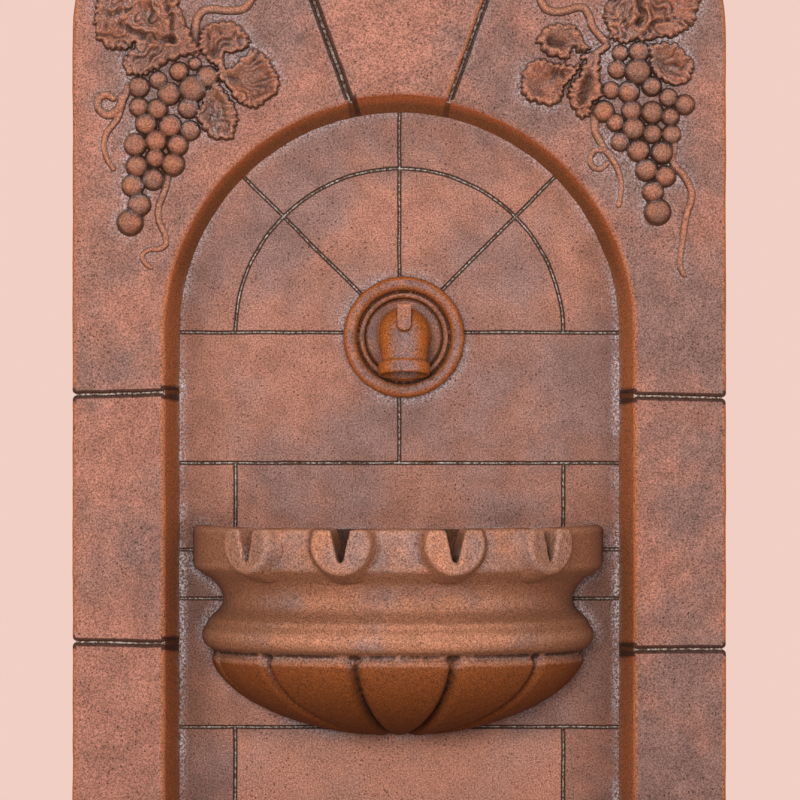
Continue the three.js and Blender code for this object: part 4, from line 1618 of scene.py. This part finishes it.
RIGHT_VINE = Vine(
    name="vine_right",
    low=(76, 80),
    high=(218, 303),
    berries=(
        (154.8, 243.0, 5.1), (168.1, 243.8, 6.4), (152.7, 231.5, 5.9), (167.3, 229.9, 7.7),
        (148.3, 216.9, 5.6), (160.7, 215.7, 6.6), (176.8, 219.7, 5.8), (188.5, 211.7, 5.8),
        (199.8, 206.8, 6.1), (143.0, 202.1, 6.5), (162.8, 202.5, 6.5), (177.2, 201.2, 6.9),
        (189.8, 198.4, 5.5), (151.5, 194.3, 5.5), (164.1, 190.0, 6.9), (177.2, 186.5, 6.2),
        (190.6, 186.0, 6.0), (154.8, 180.8, 6.0), (167.6, 174.7, 6.8), (184.0, 173.1, 6.6),
        (173.2, 161.1, 6.8), (186.1, 156.6, 6.3), (177.7, 145.8, 6.6), (180.8, 131.8, 7.8),
    ),
    leaves=(
        Leaf(
            outline=(
                (96, 252.5), (96.5, 255.5), (99.5, 259.5), (104, 263), (109, 263.5), (112, 265),
                (116, 263), (120.5, 263.5), (124.5, 261.5), (127.5, 256.5), (130.5, 251.5),
                (134.5, 248), (133, 245), (129, 243), (125, 243), (121.5, 245), (120.5, 241.5),
                (119, 238), (116, 236.5), (114.5, 238.5), (107.5, 240.5), (101.5, 242.5), (98, 246),
            ),
            creases=(Crease(3.2, 2.0, ((107.5, 251.5), (113, 250), (118, 248), (126, 243))),),
        ),
        Leaf(
            outline=(
                (129, 239.5), (123.5, 236), (119, 235), (114, 236), (107.5, 237.5), (100.5, 239),
                (95, 239), (89.5, 235), (85.5, 228.5), (84.5, 223.5), (85.5, 216), (88.5, 211),
                (94, 207.5), (100.5, 206), (107, 205.5), (112.5, 208.5), (116, 214), (117, 220.5),
                (120.5, 223.5), (123.5, 227), (131.5, 240.5),
            ),
            creases=(Crease(3.0, 3.0, ((98.5, 219.5), (105, 223.5), (112.5, 228.5), (119.5, 232.5))),),
        ),
        Leaf(
            outline=(
                (132.5, 243.5), (138, 244), (143.5, 244.5), (142, 239.5), (141, 232.5), (141, 225),
                (142, 218), (143.5, 214), (140.5, 210.5), (137, 208.5), (135, 204), (134, 198.5),
                (129.5, 196), (125, 197.5), (121, 203), (118.5, 210.5), (118, 217), (120.5, 221.5),
                (125, 228), (129, 236),
            ),
            creases=(Crease(3.6, 2.6, ((133, 225), (131, 219.5), (128.5, 212.5))),),
        ),
        Leaf(
            outline=(
                (145, 253), (146.5, 257), (143.5, 263.5), (142, 270), (144.5, 276.5), (145, 283.5),
                (148, 292), (158, 296.5), (167, 293), (173.5, 297), (192, 294.5), (205.5, 288),
                (212, 280), (209.5, 274.5), (208, 268), (205.5, 262.5), (199, 257), (192, 253.5),
                (183.5, 253), (177, 252), (171, 250.5), (165.5, 251.5), (160, 249.5), (152.5, 250.5),
                (148, 251.5),
            ),
            creases=(
                Crease(6.0, 1.7, ((167.5, 287.5), (169, 276.5), (170, 269), (168, 264))),
                Crease(2.8, 1.1, ((157.5, 274.5), (157.5, 263.5), (158.5, 256), (159.5, 250.5))),
                Crease(2.6, 1.1, ((170, 254), (176.5, 261), (182.5, 265.5), (193, 266.5))),
                Crease(3.0, 3.4, ((180, 273.5), (185.5, 272.5), (191, 274.5))),
            ),
            dish=1.0,
            fold=1.2,
            folds=11,
            pleat_reach=6.5,
        ),
        Leaf(
            outline=(
                (174.5, 249), (179, 250.5), (187.5, 251), (193.5, 250), (200, 244.5), (204.5, 239.5),
                (207.5, 234), (206, 228), (200, 221), (194.5, 219.5), (187.5, 220.5), (182.5, 223.5),
                (178, 228), (175.5, 234), (174, 241.5),
            ),
            creases=(Crease(3.4, 2.6, ((176.5, 236.5), (182.5, 236), (191, 233.5))),),
        ),
    ),
    tendrils=(
        Tendril(((135.5, 205), (137, 196.7), (137.7, 187.1), (143.3, 176.7), (151.7, 164.5),
                 (155.6, 151.4), (153.8, 136.1)), 3.2, 1.6),
        Tendril(((148.5, 171.5), (144.5, 174.5), (137.5, 175), (133.8, 169.6), (135.3, 163.5),
                 (141.2, 162), (145.4, 165.5)), 2.3, 2.0),
        Tendril(((192.6, 179.1), (191.6, 166.5), (199.5, 156.7), (205, 144.1), (200.8, 128),
                 (198.4, 111.3), (196.6, 95.2), (199.5, 87.9)), 2.9, 2.1),
        Tendril(((145.1, 247.8), (137.6, 242.8), (128.6, 239.9)), 2.2, 1.6, 3.6),
        Tendril(((144.3, 251), (135.6, 261), (133, 269), (127.5, 275.2), (113, 271.9), (103.4, 273.6),
                 (99.2, 280), (97.8, 288.4), (101.3, 298.2)), 2.8, 3.0),
    ),
    seed=9,
)


def turned(profile: list[Point], steps: int, angle: float = math.tau) -> bmesh.types.BMesh:
    """Turns a profile of radius and height about the upright axis, through the front.

    Args:
        profile: Points from one pole to the other.
        steps: Steps round.
        angle: Angle that it is turned through.

    Returns:
        The turned skin, closed if the turn is full.
    """
    shape = bmesh.new()
    verts = [shape.verts.new((radius, 0, height)) for radius, height in profile]
    edges = [shape.edges.new(pair) for pair in zip(verts, verts[1:])]
    bmesh.ops.spin(
        shape, geom=verts + edges, cent=(0, 0, 0), axis=(0, 0, -1), dvec=(0, 0, 0), angle=angle,
        steps=steps, use_merge=angle >= math.tau, use_duplicate=False,
    )
    bmesh.ops.remove_doubles(shape, verts=shape.verts, dist=TURN_WELD)
    return shape


@dataclass
class SpoutRosette:
    """The turned ring on the niche back, with the hooded tap in its middle."""

    sizes: PanelSizes
    fit_gap: float = 0.3
    radius: float = 42.6
    offset_x: float = 3.2
    drop: float = 3.3
    height: float = 10.0
    roll: float = 4.9
    bead: float = 2.0
    disc: float = 3.9
    boss_radius: float = 18.8
    tap_offset_x: float = 0.2
    tap_length: float = 48
    collar: float = 18.0
    collar_height: float = 9.0
    hood: float = 17.9
    waist: float = 15.9
    bore: float = 13.0
    mouth: float = 16.3
    bore_depth: float = 14
    lean: float = 9
    reach: float = 24
    mouth_drop: float = 27.1
    lever_width: float = 9.6
    lever_height: float = 18.5
    steps: int = 144
    grain: float = 0.62

    def curl(self, radius: float, height: float, roll: float, start: int, end: int) -> list[Point]:
        """Draws a round part of a section, between two angles in degrees."""
        turns = [math.radians(angle) for angle in range(start, end + 1, 10)]
        return [(radius + roll * math.cos(turn), height + roll * math.sin(turn)) for turn in turns]

    def ring_profile(self) -> list[Point]:
        """Draws the section of the ring, from its back to its middle."""
        outer, roll, bead = self.radius, self.roll, self.bead
        inner = outer - 2 * roll
        profile = [(0.0, 0.0), (outer - 0.6, 0.0), (outer, 1.5)]
        profile += self.curl(outer - roll, self.height - roll, roll, 0, 170)
        profile += [(inner - 0.3, 4.0), (inner - 1.0, 3.7)]
        profile += self.curl(inner - 1.3 - bead, 4.6, bead, 0, 180)
        edge = inner - 1.3 - 2 * bead
        profile += [(edge - 0.2, 3.0), (edge - 1.3, 2.6), (edge - 2.2, self.disc), (0.0, self.disc)]
        return profile

    def tap_profile(self) -> list[Point]:
        """Draws the section of the tap, from the back of its bore round to its crown."""
        collar, step, centre = self.collar, self.collar_height, self.tap_length - self.hood
        return [
            (0.0, self.bore_depth), (self.bore, self.bore_depth), (self.mouth - 0.8, 3.0),
            (self.mouth, 0.3), (collar - 0.9, 0.0), (collar, 1.0), (collar + 0.2, step * 0.5),
            (collar, step - 0.8), (collar - 1.0, step), (self.waist, step + 0.7),
            (self.waist + 0.4, step + 5), (self.waist + 1.3, step + 11), (self.hood - 0.1, centre - 3),
            *self.curl(0.0, centre, self.hood, 0, 80), (0.0, self.tap_length),
        ]

    def lever(self) -> bmesh.types.BMesh:
        """Builds the flat tab on the front of the tap."""
        part = bmesh.new()
        bmesh.ops.create_cube(part, size=1.0)
        depth, top = self.hood + 5.5, self.tap_length - 1.0
        bmesh.ops.scale(part, vec=(self.lever_width, depth, self.lever_height), verts=part.verts)
        bmesh.ops.translate(part, vec=(0, -depth / 2, top - self.lever_height / 2), verts=part.verts)
        foot = [
            one for one in part.edges
            if all(v.co.z < top - self.lever_height * 0.9 for v in one.verts)
            and abs(one.verts[0].co.x - one.verts[1].co.x) < 0.1
        ]
        round_edges(part, foot, self.lever_width * 0.42, 6)
        return part

    def build(self, material: bpy.types.Material) -> None:
        """Builds the rosette and its tap as one casting.

        Args:
            material: Its material.
        """
        shape = turned(self.ring_profile(), self.steps)
        boss = turned([(0, 1), (self.boss_radius, 1), (self.boss_radius, self.disc + 0.9),
                       (self.boss_radius - 0.7, self.disc + 1.6), (0, self.disc + 1.6)], self.steps)
        bmesh.ops.translate(boss, vec=(0.1, 1.7, 0), verts=boss.verts)
        merge_into(shape, boss)
        bmesh.ops.transform(shape, matrix=Matrix.Rotation(math.pi / 2, 4, "X"), verts=shape.verts)
        tap = turned(self.tap_profile(), self.steps)
        merge_into(tap, self.lever())
        place = Matrix.Translation((self.tap_offset_x, -self.reach, -self.mouth_drop))
        place = place @ Matrix.Rotation(math.radians(-self.lean), 4, "X")
        bmesh.ops.transform(tap, matrix=place, verts=tap.verts)
        cut_off(tap, (0, -1.0, 0), (0, 1, 0))
        merge_into(shape, tap)
        back = -self.sizes.niche_back - self.fit_gap
        height = self.sizes.arch_height - self.drop
        bmesh.ops.translate(shape, vec=(self.offset_x, back, height), verts=shape.verts)
        piece = make_object(shape, "rosette_and_tap")
        fuse(piece, self.grain, 1)
        weather(piece, 0.12, 2.2, 3.0)
        mark_relief(piece, 30)
        register(piece, Node.ROSETTE, material)


@dataclass
class UpperBowl:
    """The half-round bowl: rim with four notched lips, cove, torus and lobed belly."""

    sizes: PanelSizes
    rim_height: float = -88
    offset_x: float = -1
    fit_gap: float = 0.3
    side_gap: float = 10.7
    wall: float = 10
    rim_wall: float = 12
    band: float = 31
    rim_round: float = 3.2
    cove: tuple[Point, ...] = (
        (-66.2, 10.5), (-62.7, 14.1), (-57.0, 19.7), (-51.4, 21.1), (-45.8, 19.7), (-38.7, 14.1),
        (-32.6, 5.2),
    )
    cove_height: float = 36
    cove_depth: float = 20.5
    torus: float = 10
    torus_inset: float = 6.3
    belly_inset: float = 13.0
    belly_depth: float = 60.5
    belly_power: float = 1.85
    lobe_angle: float = 31.2
    lobe_turn: float = 1.9
    lobe_rise: float = 7.0
    lobe_shoulder: float = 6.0
    lobe_gap: float = 3.2
    lobe_corner: float = 8.0
    lip_angles: tuple[float, ...] = (-43.2, -15, 15, 43.6)
    lip_radius: float = 20.6
    lip_taper: float = 3.4
    lip_proud: float = 9.6
    lip_drop: float = 11
    notch_top: float = 14.5
    notch_tip: float = 3.4
    notch_depth: float = 23.5
    # Thickness of the dark sheet that paints the shadow inside the bowl.
    shadow_sheet_depth: float = 1.2
    steps: int = 300
    grain: float = 1.6

    @property
    def radius(self) -> float:
        """Radius of the rim."""
        return self.sizes.back_radius - self.side_gap

    @property
    def belly_top(self) -> float:
        """Height of the top of the lobes, below the rim."""
        return -self.band - self.cove_height - 2 * self.torus - 1.0

    @property
    def belly_radius(self) -> float:
        """Radius of the belly at its top."""
        return self.radius - self.belly_inset

    def belly(self, radius: float, depth: float, count: int) -> list[Point]:
        """Draws the curve of a belly from its pole up to its top."""
        points = []
        for index in range(count + 1):
            turn = math.pi / 2 * index / count
            across = radius * math.sin(turn) ** (2 / self.belly_power)
            points.append((across, self.belly_top - depth * math.cos(turn) ** (2 / self.belly_power)))
        return points

    def inside(self) -> list[Point]:
        """Draws the section of the inside of the bowl, from its rim to its pole."""
        inner, neck = self.radius - self.rim_wall, self.radius - self.cove_depth - self.wall
        torus_top = -self.band - self.cove_height
        belly = self.belly(self.belly_radius - self.wall, self.belly_depth - self.wall, 24)
        return [
            (inner, -2.0), (inner, -self.band + 6), (neck, -self.band - self.cove_height * 0.35),
            (neck, torus_top + self.cove_height * 0.35), *belly[::-1],
        ]

    def profile(self) -> list[Point]:
        """Draws the section of the bowl, from its pole outside to its pole inside.

        Returns:
            Points of radius and height.
        """
        radius, torus_top = self.radius, -self.band - self.cove_height
        across, up = radius - self.torus_inset - self.torus, torus_top - self.torus
        points = self.belly(self.belly_radius, self.belly_depth, 48)
        points.append((self.belly_radius - 1.5, self.belly_top + 1.2))
        for degrees in range(-80, 51, 10):
            turn = math.radians(degrees)
            points.append((across + self.torus * math.cos(turn), up + self.torus * math.sin(turn)))
        points += smooth_path([(radius - inset, drop) for drop, inset in self.cove], 3)
        points += [(radius - 2.6, -self.band + 0.2), (radius - 0.8, -self.band + 1.4),
                   (radius, -self.band + self.rim_round + 1)]
        points += [(radius, z) for z in (-22, -14, -7, -self.rim_round)]
        points += [(radius - 0.9, -0.9), (radius - self.rim_round, 0), (radius - self.rim_wall + 2, 0)]
        return points + self.inside()

    def shape_lobes(self, shape: bmesh.types.BMesh) -> None:
        """Presses the gaps between the lobes into the belly."""
        curve = self.belly(self.belly_radius, self.belly_depth, 200)
        lengths = [0.0]
        for start, end in zip(curve[::-1], curve[-2::-1]):
            lengths.append(lengths[-1] + math.dist(start, end))
        heights = [z for _, z in curve]
        from_top = lengths[::-1]
        power, corner = self.belly_power, self.lobe_corner
        for vert in shape.verts:
            radius = math.hypot(vert.co.x, vert.co.y)
            down = self.belly_top - vert.co.z
            if down < -0.01 or radius < 1e-6:
                continue
            if (radius / self.belly_radius) ** power + max(down / self.belly_depth, 0) ** power < 0.93:
                continue
            turn = math.degrees(math.atan2(vert.co.x, -vert.co.y)) - self.lobe_turn
            off = abs((turn + self.lobe_angle / 2) % self.lobe_angle - self.lobe_angle / 2)
            side = radius * math.radians(self.lobe_angle / 2 - off) - self.lobe_gap / 2
            top = float(np.interp(vert.co.z, heights, from_top)) - 1.0
            if side < corner and top < corner:
                inside = corner - math.hypot(corner - side, corner - top)
            else:
                inside = min(side, top)
            share = min(1.0, max(0.0, inside / self.lobe_shoulder))
            rise = math.sqrt(1 - (1 - share) ** 2)
            crown = 1.0 * math.cos(math.radians(off / self.lobe_angle * 180)) * min(1.0, radius / 60)
            offset = (self.lobe_rise * (rise - 1) + crown * rise) * min(1.0, radius / 24)
            slope = Vector((
                (radius / self.belly_radius) ** (power - 1) / self.belly_radius,
                -max(down / self.belly_depth, 1e-6) ** (power - 1) / self.belly_depth,
            )).normalized()
            vert.co.x += vert.co.x / radius * slope[0] * offset
            vert.co.y += vert.co.y / radius * slope[0] * offset
            vert.co.z += slope[1] * offset

    def lips(self) -> bmesh.types.BMesh:
        """Builds the four round lips in front of the rim."""
        lips = bmesh.new()
        root = self.radius - self.rim_wall + 1.5
        depth = self.radius + self.lip_proud - root
        for angle in self.lip_angles:
            part = bmesh.new()
            bmesh.ops.create_cone(
                part, cap_ends=True, segments=96, radius1=self.lip_radius + self.lip_taper * 2,
                radius2=self.lip_radius, depth=depth,
            )
            front = [one for one in part.edges if all(v.co.z > depth / 2 - 0.1 for v in one.verts)]
            round_edges(part, front, 1.8, 3)
            outwards = Matrix.Rotation(math.pi / 2, 4, "X")
            forward = Matrix.Translation((0, -(root + depth / 2), -self.lip_drop))
            round_bowl = Matrix.Rotation(math.radians(angle), 4, "Z")
            bmesh.ops.transform(part, matrix=round_bowl @ forward @ outwards, verts=part.verts)
            cut_off(part, (0, 0, -0.4), (0, 0, 1))
            merge_into(lips, part)
        return lips

    def notches(self) -> bmesh.types.BMesh:
        """Builds the wedges that cut the notches out of the lips."""
        wedges = bmesh.new()
        above = 12.0
        spread = (self.notch_top - self.notch_tip) / self.notch_depth
        half_tip = self.notch_tip / 2
        half_top = half_tip + spread * (self.notch_depth + above) / 2
        start = -(self.radius + 2 * self.lip_proud)
        length = self.rim_wall + 3.5 * self.lip_proud
        for angle in self.lip_angles:
            part = bmesh.new()
            corners = [(-half_tip, -self.notch_depth), (half_tip, -self.notch_depth),
                       (half_top, above), (-half_top, above)]
            add_slab(part, corners, start, start + length)
            around = Matrix.Rotation(math.radians(angle), 3, "Z")
            bmesh.ops.rotate(part, cent=(0, 0, 0), matrix=around, verts=part.verts)
            merge_into(wedges, part)
        return wedges

    def put(self, shape: bmesh.types.BMesh, name: str) -> bpy.types.Object:
        """Moves a part of the bowl to its place on the niche back and makes it an object."""
        back = -self.sizes.niche_back - self.fit_gap
        bmesh.ops.translate(shape, vec=(self.offset_x, back, self.rim_height), verts=shape.verts)
        return make_object(shape, name)

    def build_shadow_sheet(self, material: bpy.types.Material) -> None:
        """Builds a thin dark sheet at the back of the bowl, against the niche: a painted shadow inside the
        bowl.

        Args:
            material: Material of the painted shadow sheet.
        """
        half = [(radius + 1.5, min(z, -3.0)) for radius, z in self.inside()]
        outline = half + [(-radius, z) for radius, z in half[-2::-1]]
        shape = bmesh.new()
        add_slab(shape, outline, 0.0, -self.shadow_sheet_depth)
        piece = self.put(shape, "bowl_shadow_sheet")
        split_corners(piece)
        register(piece, Node.BOWL, material)

    def build(self, material: bpy.types.Material) -> None:
        """Builds the bowl as one casting.

        Args:
            material: Its material.
        """
        shape = turned(self.profile(), self.steps, math.pi)
        self.shape_lobes(shape)
        close_back(shape)
        piece = self.put(shape, "bowl_shell")
        combine(piece, self.put(self.lips(), "lips"), "UNION")
        combine(piece, self.put(self.notches(), "notches"), "DIFFERENCE")
        fuse(piece, self.grain, 1)
        weather(piece, 0.2, 4.0, 6.0)
        mark_relief(piece, 14)
        register(piece, Node.BOWL, material)


@dataclass
class LowerBasin:
    """The catch basin at the foot, plainer than the bowl and oval in plan."""

    sizes: PanelSizes
    inset: float = 24
    reach: float = 165
    rim_drop: float = 4
    fit_gap: float = 0.3
    wall: float = 10
    rim_wall: float = 12
    depth: float = 134
    band: float = 30
    rim_round: float = 3.2
    cove_depth: float = 24
    cove_height: float = 36
    torus: float = 9
    torus_inset: float = 12
    foot_radius: float = 66
    steps: int = 220
    grain: float = 2.1

    def profile(self) -> list[Point]:
        """Draws the section of the basin, from its pole outside to its pole inside."""
        radius = self.sizes.width / 2 - self.inset
        torus_top = -self.band - self.cove_height
        belly_top = torus_top - 2 * self.torus
        torus_radius = radius - self.torus_inset - self.torus

        def belly(wide: float, foot: float, depth: float, count: int) -> list[Point]:
            turns = [math.pi / 2 * i / count for i in range(count + 1)]
            return [(foot + (wide - foot) * math.sin(t), belly_top - (depth + belly_top) * math.cos(t))
                    for t in turns]

        points = [(0.0, -self.depth), *belly(torus_radius - 3, self.foot_radius, self.depth, 24)]
        for degrees in range(-80, 71, 10):
            turn = math.radians(degrees)
            points.append((torus_radius + self.torus * math.cos(turn),
                           torus_top - self.torus + self.torus * math.sin(turn)))
        for index in range(1, 14):
            turn = math.pi * index / 14
            points.append((radius - 4 - (self.cove_depth - 4) * math.sin(turn) ** 0.8,
                           torus_top + self.cove_height * (1 - math.cos(turn)) / 2))
        points += [(radius - 1, -self.band + 1), (radius, -self.band + self.rim_round)]
        points += [(radius, -self.rim_round), (radius - 0.9, -0.9), (radius - self.rim_round, 0)]
        inner = radius - self.rim_wall
        neck = radius - self.cove_depth - self.wall
        points += [(inner + 2, 0), (inner, -2), (inner, -self.band + 6), (neck, -self.band - 8)]
        points.append((neck, torus_top + 4))
        inside = belly(torus_radius - 3 - self.wall, self.foot_radius - self.wall, self.depth - self.wall, 16)
        return points + inside[::-1] + [(0.0, -self.depth + self.wall)]

    def build(self, material: bpy.types.Material) -> None:
        """Builds the basin as one casting.

        Args:
            material: Its material.
        """
        shape = turned(self.profile(), self.steps, math.pi)
        close_back(shape)
        squash = self.reach / (self.sizes.width / 2 - self.inset)
        bmesh.ops.scale(shape, vec=(1, squash, 1), verts=shape.verts)
        back = -self.sizes.thickness - self.fit_gap
        bmesh.ops.translate(shape, vec=(0, back, self.sizes.sill - self.rim_drop), verts=shape.verts)
        piece = make_object(shape, "basin_shell")
        fuse(piece, self.grain, 1)
        weather(piece, 0.2, 5.0, 2.0)
        mark_relief(piece, 8)
        register(piece, Node.BASIN, material)


@dataclass
class Studio:
    """Pale floor and surroundings, soft lights and the camera straight in front, in metres."""

    camera_distance: float = 4.545
    camera_x: float = 0.0005
    lens: float = 289.0
    floor_height: float = -0.46
    floor_colour: tuple[float, float, float, float] = (0.82, 0.74, 0.7, 1.0)
    surroundings: Colour = srgb("F1CFC4")
    fill_colour: tuple[float, float, float, float] = (1.0, 0.93, 0.9, 1.0)
    fill_strength: float = 0.5

    def place_camera(self) -> None:
        """Adds the camera at the photograph's height and distance."""
        data = bpy.data.cameras.new("Camera")
        data.lens = self.lens
        data.sensor_width = 36
        camera = bpy.data.objects.new("Camera", data)
        camera.location = (self.camera_x, -self.camera_distance, 0)
        camera.rotation_euler = (math.pi / 2, 0, 0)
        bpy.context.scene.collection.objects.link(camera)
        bpy.context.scene.camera = camera

    def add_light(self, name: str, place: tuple[float, float, float], size: float, power: float) -> None:
        """Adds a soft square light that looks at the middle of the fountain.

        Args:
            name: Its name.
            place: Where it stands.
            size: Length of its side.
            power: Its power in watts.
        """
        data = bpy.data.lights.new(name, "AREA")
        data.size = size
        data.energy = power
        light = bpy.data.objects.new(name, data)
        light.location = place
        light.rotation_euler = (-Vector(place)).to_track_quat("-Z", "Y").to_euler()
        bpy.context.scene.collection.objects.link(light)

    def light_world(self) -> None:
        """Shows pale surroundings to the camera and lights the fountain dimly from all round."""
        world = bpy.data.worlds.new("Surroundings")
        world.use_nodes = True
        tree = world.node_tree
        tree.nodes.clear()
        seen = tree.nodes.new("ShaderNodeBackground")
        seen.inputs["Color"].default_value = (*self.surroundings, 1)
        glow = tree.nodes.new("ShaderNodeBackground")
        glow.inputs["Color"].default_value = self.fill_colour
        glow.inputs["Strength"].default_value = self.fill_strength
        path = tree.nodes.new("ShaderNodeLightPath")
        mix = tree.nodes.new("ShaderNodeMixShader")
        out = tree.nodes.new("ShaderNodeOutputWorld")
        tree.links.new(path.outputs["Is Camera Ray"], mix.inputs[0])
        tree.links.new(glow.outputs[0], mix.inputs[1])
        tree.links.new(seen.outputs[0], mix.inputs[2])
        tree.links.new(mix.outputs[0], out.inputs["Surface"])
        bpy.context.scene.world = world

    def lay_floor(self) -> None:
        """Lays the plain pale floor."""
        shape = bmesh.new()
        bmesh.ops.create_grid(shape, x_segments=2, y_segments=2, size=2.0)
        bmesh.ops.translate(shape, vec=(0, 0, self.floor_height), verts=shape.verts)
        mesh = bpy.data.meshes.new("floor")
        shape.to_mesh(mesh)
        shape.free()
        floor = bpy.data.objects.new("floor", mesh)
        recipe = Recipe("Floor")
        shader = recipe.add("ShaderNodeBsdfPrincipled", {"Base Color": self.floor_colour, "Roughness": 0.9})
        recipe.add("ShaderNodeOutputMaterial", {"Surface": shader.outputs[0]})
        mesh.materials.append(recipe.material)
        bpy.context.scene.collection.objects.link(floor)

    def build(self) -> None:
        """Sets up the whole studio."""
        self.place_camera()
        self.light_world()
        self.lay_floor()
        self.add_light("Key", (-0.55, -3.5, 0.5), 1.0, 100)
        self.add_light("Fill", (0.8, -3.4, -0.6), 0.8, 42)
        bpy.context.scene.view_settings.view_transform = "Standard"


def main() -> None:
    """Builds the fountain in its studio, from the wall forwards."""
    logging.basicConfig(level=logging.INFO, format="%(message)s")
    Studio().build()
    sizes = PanelSizes()
    joint_dust = JOINT_FINISH.make()
    frame_blocks = FrameBlocks(sizes)
    frame_blocks.build_joints(joint_dust)
    frame_blocks.build_blocks(FRAME_FINISH.make())
    niche = NicheStones(sizes)
    niche.build_bed(joint_dust)
    niche.build_stones(NICHE_FINISH.make())
    vine_stone = VINE_FINISH.make()
    for vine in (LEFT_VINE, RIGHT_VINE):
        vine.build(sizes, vine_stone)
    SpoutRosette(sizes).build(ROSETTE_FINISH.make())
    bowl = UpperBowl(sizes)
    bowl.build_shadow_sheet(SHADOW_SHEET_FINISH.make())
    bowl.build(BOWL_FINISH.make())
    LowerBasin(sizes).build(BASIN_FINISH.make())


if __name__ == "__main__":
    main()
